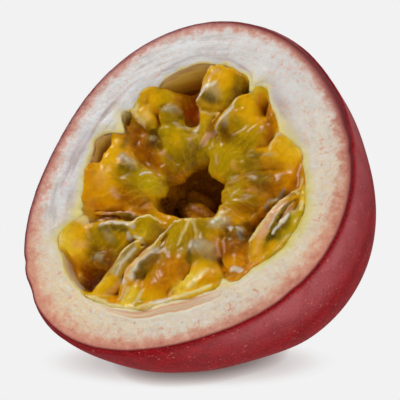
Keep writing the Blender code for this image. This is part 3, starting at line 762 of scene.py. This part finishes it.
# Creases between the sacs get painted shade, and fine ridges painted highlights.
hollowness = ((relaxed(points, 40) - points) * normals).sum(axis=1)
fine_hollowness = ((relaxed(points, 6) - points) * normals).sum(axis=1)
crease_shade = smooth_step(hollowness, 0.05, 0.45)
crest_highlight = smooth_step(-fine_hollowness, 0.02, 0.10)

# What the forms' tones, 0 to 4, look like.
TONES = ("#9c5404", "#dc8a04", "#e6a006", "#c69c06", "#f2c214")
# Juice thick and thin, the seeds that show through the skins and the films on them; the pale colours also serve as
# painted highlights and reflections, and the browns as painted shade in creases, pockets and the hole.
JUICE_AND_PAINTED_LIGHT = {
    "gold": "#fcba10", "amber": "#f2a408", "yellow": "#ffd63a", "olive": "#c49e0a", "moss": "#947408",
    "orange": "#e68c06", "burnt": "#ac5e08", "rust": "#823808", "brown": "#5e340a", "plum": "#7c3c2c",
    "seed": "#5a4a16", "ink": "#2a240e", "film_sheen": "#c4b488", "grey": "#aca490", "white": "#f0e8d6",
    "peach": "#f6b45e", "cream": "#fce49c", "pink": "#f4bc9e", "lime": "#ccb014", "ember": "#d0580c",
    "hole_shade": "#561a06", "deep_shade": "#a05a0a",
}
# What shows through or lies on the sacs, each over the last, with painted light among it: white, grey, cream, pink,
# peach and film strokes are mostly painted highlights and reflections on ridges and over seeds, and brown and rust
# strokes partly painted shade in creases and pockets: (colour, how much, half width, then across and up of each
# place along it).
STROKES = (
    # The top sac and its neck.
    ("gold", 0.85, 2.2, -4.2, 22.2, -2.4, 21.2), ("gold", 0.6, 1.2, -4.6, 20.8, -2, 19.4),
    ("moss", 0.8, 1.5, 0.6, 21.6, 1.2, 20.2), ("brown", 0.8, 0.8, 2.2, 20.6, 1.6, 19.2, 0.4, 17),
    ("brown", 0.6, 1.1, 0.2, 19.6, 0, 18.4), ("olive", 0.7, 1.1, -1.4, 18.6, -0.7, 17.2),
    ("film_sheen", 0.7, 1, -3.8, 19.2, -3.2, 18), ("seed", 0.85, 1, -4.6, 17.2, -2.8, 16.8),
    ("white", 0.85, 0.45, -4, 19.8, -5.4, 18.6, -5.7, 16.2), ("cream", 0.9, 0.6, -6.2, 23.6, -7.3, 21.4, -6.8, 19.2),
    ("pink", 0.5, 0.3, -4.4, 22.6, -5.4, 20.4), ("brown", 0.7, 0.25, -5.7, 15.6, -3.4, 15.2, -1, 15.6),
    ("gold", 0.7, 1.6, -3.6, 14.2, -1.8, 13.8), ("cream", 0.45, 0.25, -5.2, 15, -3.2, 14.6, -1.4, 15),
    ("olive", 0.85, 1.7, -3.2, 12, -2.4, 9), ("burnt", 0.5, 0.4, -1.9, 13.4, -2.4, 10.8),
    ("pink", 0.85, 0.28, -1, 14.9, -1.3, 12.3, -2, 8.9), ("pink", 0.7, 0.24, -1.9, 11.4, -3, 8.4),
    ("brown", 0.6, 0.3, -0.4, 15.4, -0.7, 13, -0.8, 11.2), ("white", 0.85, 0.5, -4.6, 12.2, -5.2, 11),
    ("cream", 0.6, 0.35, -4.2, 10.2, -4.6, 8.6),
    # The slit to the left of it.
    ("burnt", 0.9, 2, -9.6, 20.4, -8.4, 17.4), ("orange", 0.7, 1.1, -8.8, 18.4, -7.6, 15.6),
    ("rust", 0.5, 0.5, -7, 17.4, -6, 14.4, -5.6, 12.6),
    # The cluster at the upper left.
    ("gold", 0.85, 1.8, -15.2, 15.4, -14.6, 15), ("olive", 0.75, 1.6, -12.6, 16.4, -11.4, 15.6),
    ("burnt", 0.7, 1.1, -10.2, 16, -9.2, 14.6), ("brown", 0.75, 0.6, -8.6, 15.2, -8, 13),
    ("orange", 0.6, 0.35, -13.8, 13.2, -12.8, 12.2, -12.6, 11), ("brown", 0.5, 0.3, -12.4, 14, -12, 12),
    ("gold", 0.75, 1.4, -15.6, 12.4, -14.4, 11.2), ("cream", 0.4, 0.7, -14.8, 11.4, -14.2, 10.8),
    ("cream", 0.9, 0.45, -17.2, 12.6, -17, 11.4, -15.8, 10.2, -14.4, 9.8),
    ("moss", 0.8, 1.6, -10.2, 12.8, -9.4, 12.2), ("grey", 0.75, 0.8, -11.2, 13.6, -10, 13.7),
    ("seed", 0.6, 0.3, -8.2, 13.4, -8.4, 11.8, -10, 11), ("white", 0.75, 0.35, -8.6, 11.2, -7.6, 11, -6.6, 11.4),
    ("olive", 0.85, 2, -10.6, 9.6, -6.4, 9.8), ("olive", 0.8, 1.6, -9.4, 7, -5.4, 6.6),
    ("gold", 0.45, 0.9, -7.4, 8.8, -6.4, 7.4), ("pink", 0.6, 0.45, -9.4, 6.2, -8.9, 5.8),
    ("pink", 0.6, 0.4, -7.6, 5.4, -7, 5.2), ("pink", 0.75, 0.4, -4.7, 9.4, -4, 8.4),
    ("moss", 0.6, 0.8, -11.6, 9.4, -10.6, 8.6), ("moss", 0.8, 1.6, -5.8, 6, -3.4, 5.4),
    ("moss", 0.85, 1.6, -4, 8, -2, 7.2), ("brown", 0.5, 1, -5.2, 4.2, -3.4, 5.8),
    # The hollow place on the left; its first brown stroke, along the top, is painted shadow under the lip.
    ("brown", 0.85, 0.7, -18.6, 10.8, -17.6, 10), ("orange", 0.7, 0.5, -19.6, 9.8, -18.4, 11.8),
    ("burnt", 0.8, 1.8, -16.4, 8.4, -15, 6.4), ("brown", 0.8, 0.5, -17.6, 8.2, -17, 6.6, -16.6, 4.6),
    ("burnt", 0.8, 1.6, -13.4, 5.6, -11.8, 5), ("rust", 0.7, 1.1, -11.2, 4.4, -10, 3.6),
    ("brown", 0.9, 1.3, -12.2, 8, -11.4, 7.2), ("film_sheen", 0.7, 0.35, -12.3, 8.2, -12.1, 7.6),
    ("brown", 0.55, 0.6, -13.4, 9.4, -12.6, 9), ("burnt", 0.7, 1.5, -8.6, 3.6, -5.8, 3.2),
    ("brown", 0.6, 1.3, -6.4, 2.6, -6.4, 0.6), ("moss", 0.7, 1.2, -7.6, 5, -5.4, 4.4),
    # The big sac on the left.
    ("orange", 0.8, 0.7, -18.8, 6.8, -17.6, 6.4), ("gold", 0.95, 1.5, -18.6, 5.2, -18.2, 3.6, -18.6, 1.6),
    ("orange", 0.35, 0.6, -20, 2.6, -20.2, -0.6, -20, -3), ("gold", 0.8, 1.8, -17.4, 2.2, -17.6, -1.2),
    ("seed", 0.95, 0.9, -14.6, 0.9, -12.4, 0.5), ("grey", 0.85, 0.7, -15.6, 2.9, -14.2, 2.3, -12.4, 1.7),
    ("brown", 0.5, 0.5, -12.6, 3.4, -11.2, 2.4), ("peach", 0.55, 1.2, -17.8, -2, -17.4, -2.8),
    ("moss", 0.75, 1.7, -14, -0.2, -12.2, -1.6), ("moss", 0.6, 1.2, -10.8, -1.8, -9.6, -2.6),
    ("olive", 0.85, 1.6, -10.6, 0.6, -8.4, 0.4), ("lime", 0.75, 1.2, -8.6, -0.8, -7.2, -1.6),
    ("gold", 0.5, 0.7, -8.4, -2.4, -7, -3), ("white", 0.75, 0.25, -10.6, 0.6, -9.4, 1.5),
    ("amber", 0.7, 1.8, -18.6, -4.4, -15.6, -5.6), ("gold", 0.5, 1, -15.8, -2.6, -14.8, -3.4),
    ("burnt", 0.7, 1.4, -12.4, -4, -7.6, -4.8), ("orange", 0.6, 0.6, -17.4, -7.2, -13, -6),
    ("pink", 0.4, 0.5, -14.8, -3.6, -13.6, -4.2), ("brown", 0.85, 0.7, -14, -7.6, -10, -7, -7.2, -7.6),
    ("pink", 0.7, 0.24, -15.3, -8.7, -12.6, -7.2, -10.7, -6.5, -8.6, -6.7),
    ("pink", 0.6, 0.22, -15.8, -9, -11.8, -8.4, -7.4, -8), ("seed", 0.6, 0.5, -10.4, -7.2, -8, -7.4),
    # The wide sac at the lower left.
    ("gold", 1, 2.6, -19.6, -13.6, -18.2, -15.8, -16.4, -16.6), ("yellow", 0.8, 1.7, -19.6, -13, -17.8, -15.6),
    ("cream", 0.95, 0.75, -21.4, -12.6, -19.8, -9.8, -17.8, -10.6, -16.2, -10.6),
    ("cream", 0.5, 0.6, -19.8, -14.6, -19, -15.6), ("peach", 0.85, 0.4, -15.9, -11, -15.2, -12.6, -14.2, -13.4),
    ("gold", 0.8, 0.9, -17.4, -12, -16.6, -14), ("peach", 0.7, 0.6, -16.6, -15, -15, -14.6),
    ("white", 0.85, 0.45, -13.2, -10.7, -11.6, -9.7, -9.4, -9.3, -7.2, -9.3),
    ("seed", 0.9, 0.6, -12.8, -11.4, -10.8, -10.6, -8.4, -10.3), ("moss", 0.8, 1.8, -13.2, -13.2, -10.4, -12.8),
    ("moss", 0.7, 1, -9.2, -13.6, -8.4, -14.8), ("film_sheen", 0.35, 0.7, -11.4, -11.8, -10.6, -12.4),
    ("brown", 0.95, 1.5, -12.6, -15.8, -10.4, -16.4), ("grey", 0.6, 0.5, -11.8, -16, -10.6, -16.2),
    ("rust", 0.7, 0.8, -9.8, -14.4, -8.8, -16.6), ("orange", 0.7, 1, -15.8, -18.8, -13.4, -18.8),
    ("burnt", 0.8, 1, -13.6, -18.4, -8.4, -18.2), ("plum", 0.95, 1.5, -12.2, -20.4, -9.2, -20.2),
    ("rust", 0.6, 0.6, -13.8, -20, -11.2, -22), ("white", 0.7, 0.35, -7.6, -10.7, -7.3, -11.2),
    # The slack sacs beside it.
    ("olive", 0.85, 1.6, -5.6, -8, -4, -9.6), ("cream", 0.85, 0.32, -8, -9.4, -6.4, -7.2, -4.9, -6.3, -3.6, -6.8),
    ("yellow", 0.6, 0.5, -6.4, -10.6, -4.6, -10.2), ("white", 0.8, 0.3, -6.3, -10.9, -5, -10.8),
    ("moss", 0.7, 0.8, -2.8, -8, -2, -9.2), ("film_sheen", 0.75, 0.8, -5.2, -13.2, -6.2, -15.8, -6.6, -18),
    ("cream", 0.8, 0.25, -4.6, -11.2, -6.6, -13.6, -7, -15.4),
    ("white", 0.6, 0.25, -4.6, -13, -5.8, -15.6, -6, -18.4), ("moss", 0.7, 0.4, -5.4, -12.6, -6.2, -14.8),
    ("moss", 0.6, 0.4, -3.9, -12.6, -4.9, -15.6), ("gold", 0.85, 1.2, -6.6, -20, -8, -22.6),
    ("yellow", 0.6, 0.5, -7.6, -19.8, -8.4, -21.6), ("peach", 0.6, 0.4, -5, -19.6, -6.4, -22.6),
    ("pink", 0.9, 0.26, -1.8, -10.7, -3.2, -14, -4.5, -18.8),
    ("cream", 0.8, 0.22, -1.3, -11.3, -2.8, -14.6, -3.8, -18.2), ("orange", 0.5, 0.3, -2.9, -12.8, -4.2, -16.6),
    ("white", 0.85, 0.5, -4.6, -19, -3.9, -19.3), ("orange", 0.7, 0.9, -4.4, -21.2, -4.2, -23.6),
    ("cream", 0.6, 0.25, -3.2, -20, -3.6, -22.6),
    # The fat orange sac at the bottom.
    ("cream", 0.9, 0.4, -0.1, -6.2, 0.9, -6), ("white", 0.8, 0.25, 0.2, -6.3, -0.7, -8.8, -1.5, -10.8),
    ("cream", 0.85, 0.35, 2.2, -5.6, 3.3, -5), ("olive", 0.85, 1.6, 1.2, -8.2, 1.8, -10.4),
    ("moss", 0.75, 1.3, 4.4, -6.2, 6, -5.6), ("moss", 0.75, 1.5, 3.6, -9.2, 4.6, -10.6),
    ("cream", 0.7, 0.25, 2.9, -5.4, 2.7, -8, 2.5, -10.2), ("cream", 0.5, 0.22, 3.4, -5.6, 6.2, -8.6),
    ("white", 0.95, 0.5, 0, -11.8, -1.2, -12.8, -2.2, -15.4, -3, -18), ("grey", 0.7, 0.5, -0.4, -13, -1.6, -15.8),
    ("seed", 0.9, 0.8, 0.2, -13.6, -0.8, -15.6, -1.6, -17.6), ("moss", 0.7, 1.4, 1.6, -13, 0.6, -16.4),
    ("orange", 0.8, 2.2, 3, -15.8, 4.2, -18), ("burnt", 0.4, 2.6, 2.4, -14.6, 3.8, -17.6),
    ("burnt", 0.6, 0.8, 5.2, -12.8, 5.8, -14.6), ("rust", 0.6, 0.4, 6.5, -15.6, 6.2, -17.6, 4.8, -19.8),
    ("pink", 0.6, 0.22, 6.9, -14.6, 6.8, -17.2, 5.6, -19.6), ("gold", 0.8, 1.2, 1.4, -20.4, 3.8, -20.6),
    ("orange", 0.6, 0.9, -0.4, -18.8, 1.2, -19.4), ("yellow", 0.9, 1, -1.4, -20.6, -1.8, -23.4),
    ("cream", 0.7, 0.3, 0.4, -20, -0.2, -22.8), ("cream", 0.6, 0.25, -2.6, -20, -2.8, -22.8),
    ("cream", 0.9, 0.45, -8.6, -23.8, -3.4, -24.2, 1, -23.4, 3.6, -22.2, 6.4, -20.4),
    ("white", 0.8, 0.3, 3, -21.9, 6, -20.2),
    # The sacs at the lower right.
    ("burnt", 0.8, 2.8, 11, -8.8, 14.6, -9.4), ("rust", 0.35, 2, 12.6, -8.4, 16.2, -10.6),
    ("moss", 0.6, 1.2, 6.4, -7.6, 6.4, -8.8), ("grey", 0.95, 1.1, 5.9, -9.8, 6.8, -9.6),
    ("film_sheen", 0.7, 0.9, 7.8, -9.8, 9, -9.4), ("seed", 0.8, 0.5, 5.4, -11, 5.8, -12.4),
    ("moss", 0.85, 1, 7, -12, 9.4, -11.8), ("film_sheen", 0.3, 0.5, 8.4, -11, 10.2, -10.6),
    ("film_sheen", 0.9, 1, 7.4, -4.6, 9.2, -4.2), ("white", 0.7, 0.4, 7, -4.6, 7.8, -3.6),
    ("cream", 0.7, 0.3, 7, -3.8, 8.9, -1.6), ("brown", 0.9, 1.1, 10.4, -5.2, 11.2, -6.6),
    ("seed", 0.8, 0.8, 12.2, -4.6, 13.6, -5.8), ("white", 0.75, 0.3, 10.8, -4.9, 11.4, -5.2),
    ("white", 0.6, 0.3, 12.4, -4.9, 13.4, -5), ("grey", 0.6, 0.4, 12.8, -5.6, 13.6, -6.2),
    ("plum", 0.5, 0.9, 12, -7.2, 13.2, -8.2), ("brown", 0.9, 1, 13.4, -3.4, 14.8, -4.6, 14.6, -6.4),
    ("orange", 0.6, 0.7, 14.2, -2, 15.2, -3.2), ("burnt", 0.5, 1.2, 11.6, -8.8, 13.6, -9.6),
    ("orange", 0.85, 1.5, 15.6, -10.4, 17.6, -10.2), ("amber", 0.8, 1.2, 12.6, -11.4, 14.2, -11.2),
    ("pink", 0.5, 0.22, 9.4, -7.4, 10.6, -9.8), ("pink", 0.5, 0.22, 10.4, -6.8, 11.4, -9.2),
    ("white", 0.85, 0.4, 14.8, -12.2, 16.2, -11.9), ("gold", 1, 1.7, 8.8, -13.8, 8, -17.6),
    ("yellow", 1, 1.1, 7.6, -15.4, 7, -18.6), ("yellow", 0.8, 0.6, 9.6, -13.8, 9.2, -16.2),
    ("cream", 0.8, 0.35, 10.4, -13.4, 9.2, -15.2, 8.6, -17.4), ("amber", 0.85, 1.2, 11.4, -14.2, 12.4, -15),
    ("orange", 0.6, 0.35, 10.6, -14.8, 10.2, -16.8), ("cream", 0.9, 0.4, 12.4, -16, 8.8, -18.9, 6.6, -20.2),
    # The small clear sac at the right rim.
    ("orange", 0.8, 0.9, 15.2, -3.6, 16.4, -0.4, 18.4, 2.4), ("pink", 0.85, 0.95, 18.6, 0.8, 17.8, -2.2, 17.2, -5),
    ("gold", 0.75, 1.3, 16.8, -7.2, 17.8, -8.8), ("peach", 0.8, 0.5, 17.4, -5.6, 18, -8),
    ("cream", 0.9, 0.24, 20.4, 4, 18.3, 1, 16.8, -3, 15.7, -6.6),
    ("white", 0.8, 0.22, 19.8, 1.4, 18.9, -0.8, 18.5, -3.4),
    ("moss", 0.95, 0.34, 20.4, 2.2, 19.5, 0.2, 19.1, -2.4, 18.9, -5.2, 19.1, -7),
    ("lime", 0.8, 1.1, 22.2, 0.4, 22, -2.6, 21.4, -5), ("ink", 0.97, 0.8, 20.7, -0.8, 20.3, -2.8, 19.6, -5),
    ("moss", 0.7, 0.6, 21.2, -2.2, 20.6, -4.6), ("white", 0.98, 0.4, 20.9, -0.5, 20.4, -2),
    ("white", 0.85, 0.24, 20.4, -2, 19.6, -4.4), ("gold", 0.8, 0.9, 20.2, -6.4, 19.2, -7.8),
    ("gold", 0.7, 0.7, 20.9, 2.8, 20.9, 1.2), ("film_sheen", 0.7, 0.5, 21.5, 1.4, 21.6, 0.4),
    ("burnt", 0.6, 0.35, 15.2, -6.4, 15.5, -8.6, 16.8, -10.2), ("yellow", 0.8, 0.5, 21.8, 4.8, 22.4, 2.6),
    ("rust", 0.6, 0.3, 18.6, 2.6, 20.4, 3.4), ("white", 0.75, 0.28, 18.7, 3.4, 20, 4.3),
    ("cream", 0.8, 0.4, 22.2, 2.2, 22.6, 1),
    # The sacs on the right.
    ("burnt", 0.65, 3.4, 9.6, 3.2, 14.6, 4.8), ("burnt", 0.5, 2.2, 12, 0.8, 10, -1),
    ("orange", 0.85, 1.5, 18.4, 8.8, 18.6, 5.8), ("burnt", 0.7, 0.8, 19.4, 8.2, 19.6, 5.6),
    ("pink", 0.75, 0.24, 19.2, 8.6, 19.6, 5.4), ("peach", 0.6, 0.5, 17, 8.2, 17.4, 7.4),
    ("cream", 0.6, 0.25, 20.4, 6.4, 20.6, 3.6), ("seed", 0.85, 1.4, 11.6, 5, 13.2, 4.8),
    ("seed", 0.8, 1.1, 8.4, 8.9, 9.8, 8.7), ("moss", 0.7, 1.2, 6.6, 8.2, 7.8, 7.2),
    ("film_sheen", 0.6, 0.3, 11.6, 9.4, 13.8, 9.9), ("moss", 0.7, 1.5, 9.6, 6.2, 10.4, 5.6),
    ("white", 0.8, 0.4, 12.2, 13.3, 13.4, 13.4), ("cream", 0.85, 0.4, 12.2, 12.6, 11.6, 11.4, 12, 10.6),
    ("gold", 1, 1.8, 14, 12.2, 17, 10.8), ("yellow", 0.5, 0.8, 15, 12, 17, 10.8),
    ("gold", 0.7, 1.3, 14, 10.2, 16.8, 9.2), ("grey", 0.8, 0.28, 14.8, 0.4, 15.2, 1.6, 16.2, 2.4, 17.6, 4.2),
    ("brown", 0.9, 0.8, 15.6, 0.2, 16.8, 1.6, 17.8, 3.2), ("burnt", 0.7, 1, 13.8, -0.6, 15.2, -1.2),
    ("moss", 0.7, 1.2, 10.4, 1.4, 12.4, 1.2), ("burnt", 0.5, 1.2, 14.6, 3.6, 15.8, 5.2),
    ("olive", 0.8, 1.3, 8.4, 0.6, 8, 3), ("cream", 0.4, 0.25, 7.7, 1, 8.6, 2.6),
    ("peach", 0.4, 0.5, 10.8, 2.8, 11.4, 3.2),
    # The big sac at the upper right.
    ("yellow", 0.85, 0.9, 4.4, 20.2, 5.4, 19.4), ("gold", 0.85, 1.2, 2.4, 18.6, 4.2, 18.2),
    ("white", 0.9, 0.28, 1.3, 16.6, 0.4, 14, 0, 11.6), ("grey", 0.6, 0.5, 1.2, 14.4, 1.4, 13),
    ("cream", 0.9, 0.28, 3.2, 20.4, 1.2, 18.6, 1.2, 17), ("brown", 0.97, 0.75, 6.9, 18.2, 7.2, 17.4),
    ("orange", 0.8, 0.6, 5.8, 19.6, 5.9, 18.2), ("burnt", 0.85, 0.7, 8, 18.6, 8.4, 17, 9.6, 15),
    ("gold", 0.75, 1.4, 4.8, 16.2, 6.8, 15.4), ("burnt", 0.8, 1.2, 9.4, 14.2, 10.2, 12.6),
    ("pink", 0.7, 0.35, 8.4, 14.2, 8.8, 13.8), ("moss", 0.7, 1, 3.2, 14.2, 3.8, 13.2),
    ("brown", 0.85, 1.1, 1.2, 11.9, 2.8, 11.1, 3.6, 11), ("moss", 0.8, 1.3, 5.2, 10.6, 7, 10.8),
    ("olive", 0.75, 1.4, 6.6, 12.8, 7.8, 12.4), ("olive", 0.85, 1.8, 4.6, 8.2, 3, 6.8),
    ("olive", 0.7, 1.2, 1.6, 7.6, 1.6, 5), ("gold", 0.5, 0.6, 2, 4.4, 3.6, 4), ("peach", 0.5, 0.5, 5.2, 7, 5.8, 6.2),
    ("pink", 0.5, 0.25, 1.6, 7.6, 2.2, 6.2), ("moss", 0.7, 1, 5.8, 4.6, 6.6, 3.6),
)
# Colours deep down in the slit, the lower-left pocket and the open middle; the darkest ones, in the open middle, are
# painted shade on the hole's floor: (colour, how much, half width, place).
DEEP_COLOURS_AND_SHADE = (
    ("ember", 0.85, 2.6, (-7.6, 15.6, -5.6)), ("hole_shade", 0.95, 2.2, (-7, -2, -6.6)),
    ("hole_shade", 0.8, 1.6, (-4.6, -4.4, -6)), ("plum", 0.95, 2.4, (-10.8, -20, -5)),
    ("ember", 0.6, 1.4, (-13.8, -19.4, -4.8)), ("hole_shade", 0.8, 3, (-4.4, -1.2, -8.8)),
    ("hole_shade", 0.5, 2, (-1.6, -2.6, -8.2)),
)


def painted(base, name, share):
    return base + (np.array(srgb(JUICE_AND_PAINTED_LIGHT[name])[:3]) - base) * share[:, None]


tone = np.zeros(len(points))
weight = np.full(len(points), 1e-6)
for form in SAC_FORMS:
    for x, y, level, thick, value in form:
        gap = np.linalg.norm(points - (x, y, level - thick), axis=1) / (thick + 1.0)
        share = np.exp(-2.5 * gap ** 2)
        weight += share
        tone += share * value
tone = tone / weight + 0.5 * lumps(points, 2.2, 41)
steps = np.array([srgb(code)[:3] for code in TONES])
juice_and_painted_light = np.stack([np.interp(tone, range(len(TONES)), steps[:, channel]) for channel in range(3)], axis=1)
# The strokes wander a little, so that none has a ruled edge.
astray = points + 0.35 * np.c_[lumps(points, 1.3, 42), lumps(points, 1.3, 43), np.zeros(len(points))]
for name, most, half, *ends in STROKES:
    gap = np.min([line_gap(astray, *ends[at:at + 4]) for at in range(0, len(ends) - 2, 2)], axis=0)
    soft = 0.45 if half < 0.5 else 0.9
    share = most * (1.0 - smooth_step(gap, (1.0 - soft) * half, (1.0 + soft) * half))
    juice_and_painted_light = painted(juice_and_painted_light, name, share)
# Painted shade: the deeper the pulp lies in the hollow, the browner.
juice_and_painted_light = painted(juice_and_painted_light, "deep_shade", smooth_step(-points[:, 2], 3.8, 7.0))
for name, most, half, spot in DEEP_COLOURS_AND_SHADE:
    share = most * (1.0 - smooth_step(np.linalg.norm(astray - spot, axis=1), 0.3 * half, 1.3 * half))
    juice_and_painted_light = painted(juice_and_painted_light, name, share)
# Painted shade in the creases between the sacs.
crease_shade_colour = np.array(srgb("#8a4602")[:3])
juice_and_painted_light = juice_and_painted_light + (crease_shade_colour - juice_and_painted_light) * (0.75 * crease_shade)[:, None]
store(pulp, "place", points)
store(pulp, "juice_and_painted_light", juice_and_painted_light)
store(pulp, "crest_highlight", crest_highlight)
store(pulp, "grain", polar + warp)
store(pulp, "fold_highlight", np.clip(folds, 0, 1) ** 6 * smooth_step(points[:, 2], -4.5, -2.5))
set_corners(pulp, to_world(points))
start_clean()
pulp.select_set(True)
bpy.context.view_layer.objects.active = pulp
bpy.ops.object.shade_smooth()

# Juice sacs: thin wet skins full of yellow juice. Thick sacs look orange and amber, thin ones olive
# yellow; light runs on a little way inside them, and they shine like water.
pulp_mat, tree = new_material("amber_juice_sacs")
place, juice_and_painted_light, grain, crest_highlight, fold_highlight = (add(tree, "Attribute", {"attribute_name": name}).outputs[kind] for name, kind in (
    ("place", VECTOR), ("juice_and_painted_light", VECTOR), ("grain", VECTOR), ("crest_highlight", NUMBER), ("fold_highlight", NUMBER)))
# Grains and clots in the juice, under a millimetre across, and threads in the sacs' skins that run from
# the rim to the middle: each a little lighter here and darker there.
clots = add(tree, "TexNoise", Vector=place, Scale=1.1, Detail=4.0, Roughness=0.65)
threads = add(tree, "TexNoise", Vector=grain, Scale=1.5, Detail=3.0, Roughness=0.6)
for pattern, start, full, most, colour in (
    (clots, 0.5, 0.72, 0.25, "#fccc10"), (clots, 0.48, 0.28, 0.2, "#7a4c04"),
    (threads, 0.52, 0.78, 0.2, "#fcc810"), (threads, 0.48, 0.25, 0.18, "#84500a"),
):
    share = add(tree, "MapRange", Value=pattern, From_Min=start, From_Max=full, To_Max=most)
    juice_and_painted_light = add(tree, "Mix", MIX, Factor=share, A=juice_and_painted_light, B=srgb(colour))
# Painted highlights: edges and folds are made paler, as if catching the light.
pale = add(tree, "Math", PLUS, _0=crest_highlight, _1=fold_highlight)
pale = add(tree, "MapRange", Value=pale, From_Max=1.6, To_Max=0.2)
juice_and_painted_light = add(tree, "Mix", MIX, Factor=pale, A=juice_and_painted_light, B=srgb("#f8cc4c"))
fine = add(tree, "TexNoise", Vector=place, Scale=1.6, Detail=4.0, Roughness=0.65)
pucker = add(tree, "Bump", Strength=0.5, Distance=0.00008, Height=fine)
sacs = add(tree, "BsdfPrincipled", Base_Color=juice_and_painted_light, Roughness=0.13, IOR=1.38, Specular_IOR_Level=0.14, Normal=pucker,
           Subsurface_Weight=0.25, Subsurface_Scale=0.001, Subsurface_Radius=(1.2, 0.8, 0.15))
add(tree, "OutputMaterial", Surface=sacs)
pulp.data.materials.clear()
pulp.data.materials.append(pulp_mat)
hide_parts("pulp")
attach(pulp, "root")

# ---------------------------------------------------------------------------------------------
# Floor, light and camera.
# ---------------------------------------------------------------------------------------------
FLOOR_SIZE = 6.0
AZIMUTH, ELEVATION = math.radians(34), math.radians(22)
start_clean()
bpy.ops.mesh.primitive_plane_add(size=FLOOR_SIZE, location=(0, 0, 0))
floor = bpy.context.object
floor.name = "floor"
# A pale, evenly lit table. It has a soft shade under the whole fruit, and a darker one where they touch.
SHADE_AT = (-0.0026, -0.0042, 0.0)
SHADE_SIZE = (0.0268, 0.0115, 1.0)
floor_mat, tree = new_material("pale_floor")
close = add(tree, "AmbientOcclusion", {"samples": 16}, Distance=0.0028)
touch = add(tree, "ValToRGB", stops=((0.0, "#9a908e"), (0.5, "#dcd5d4"), (1.0, "#ffffff")), Fac=close.outputs["AO"])
spread = add(tree, "TexCoord").outputs["Object"]
spread = add(tree, "Mapping", {"vector_type": "TEXTURE"}, Vector=spread, Location=SHADE_AT,
             Rotation=(0.0, 0.0, AZIMUTH), Scale=SHADE_SIZE)
spread = add(tree, "VectorMath", {"operation": "LENGTH"}, _0=spread).outputs["Value"]
wide = add(tree, "ValToRGB", stops=(
    (0.0, "#8e8685"), (0.4, "#b2aaa9"), (0.5, "#c1bab9"), (0.6, "#cac3c2"), (0.7, "#d8d2d1"), (0.8, "#e4e0df"),
    (0.9, "#eeeded"), (1.0, "#f2f2f2"),
), Fac=spread)
shade = add(tree, "Mix", {"data_type": "RGBA", "blend_type": "MULTIPLY"}, Factor=1.0, A=wide, B=touch)
glow = add(tree, "Emission", Color=shade, Strength=1.0)
add(tree, "OutputMaterial", Surface=glow)
floor.data.materials.append(floor_mat)
floor.visible_glossy = False

TENT_BRIGHT = 1.4
TENT_DIM = 0.05
world = bpy.data.worlds.new("soft_room")
bpy.context.scene.world = world
world.use_nodes = True
tree = world.node_tree
# A white tent all round. It is dimmer above, where the wet face mirrors it, so that its colours stay deep,
# and dimmer at the skin's side and under the table.
tree.nodes.clear()
sky = add(tree, "TexCoord").outputs["Generated"]
facing = add(tree, "VectorMath", {"operation": "DOT_PRODUCT"}, _0=sky, _1=(-0.52, -0.375, 0.77)).outputs["Value"]
tent = add(tree, "MapRange", SMOOTH, Value=facing, From_Min=-0.05, From_Max=0.75, To_Min=TENT_BRIGHT, To_Max=TENT_DIM)
height_of = add(tree, "SeparateXYZ", Vector=sky).outputs["Z"]
below = add(tree, "MapRange", SMOOTH, Value=height_of, From_Min=-0.1, From_Max=0.15, To_Min=0.12, To_Max=1.0)
beside = add(tree, "VectorMath", {"operation": "DOT_PRODUCT"}, _0=sky, _1=(0.78, 0.62, 0.10)).outputs["Value"]
beside = add(tree, "MapRange", SMOOTH, Value=beside, From_Min=0.35, From_Max=0.9, To_Min=1.0, To_Max=0.45)
tent = add(tree, "Math", TIMES, _0=tent, _1=below)
tent = add(tree, "Math", TIMES, _0=tent, _1=beside)
room = add(tree, "Background", Color=srgb("#ffffff"), Strength=tent)
add(tree, "OutputWorld", Surface=room)


def softbox(name, direction, distance, width, radiance):
    """A square area light that looks at the fruit, given by how bright its face is."""
    data = bpy.data.lights.new(name, "AREA")
    data.shape = "SQUARE"
    data.size = width
    data.energy = math.pi * width * width * radiance
    lamp = bpy.data.objects.new(name, data)
    away = Vector(direction).normalized()
    aim = Vector((0.0, 0.0, 0.03))
    lamp.location = aim + away * distance
    lamp.rotation_euler = away.to_track_quat("Z", "Y").to_euler()
    bpy.context.scene.collection.objects.link(lamp)
    return lamp


softbox("key_softbox", (-0.68, -0.10, 0.72), 1.0, 0.2, 38.5)
softbox("top_softbox", (-0.10, 0.35, 0.93), 1.0, 0.45, 2.5)

back = Vector((math.sin(AZIMUTH) * math.cos(ELEVATION), -math.cos(AZIMUTH) * math.cos(ELEVATION), math.sin(ELEVATION)))
right = Vector((math.cos(AZIMUTH), math.sin(AZIMUTH), 0.0))
up = back.cross(right)
# The camera looks a little to the right of the middle of the cut face, and below it.
DISTANCE = 0.42
VIEW_WIDTH = 0.0688
SENSOR = 36.0
LOOK_RIGHT = 0.0018232
LOOK_DOWN = 0.0017716
FACE_MIDDLE = FACE_TO_WORLD @ Vector((1.09, -0.64, 0.0))
eye = FACE_MIDDLE + back * DISTANCE + right * LOOK_RIGHT - up * LOOK_DOWN
camera_data = bpy.data.cameras.new("camera")
camera_data.sensor_width = SENSOR
camera_data.lens = SENSOR * DISTANCE / VIEW_WIDTH
camera_data.dof.use_dof = False
camera_data.clip_start = 0.01
camera = bpy.data.objects.new("camera", camera_data)
camera.matrix_world = Matrix.Translation(eye) @ Matrix((right, up, back)).transposed().to_4x4()
bpy.context.scene.collection.objects.link(camera)
bpy.context.scene.camera = camera
bpy.context.scene.view_settings.view_transform = "Standard"
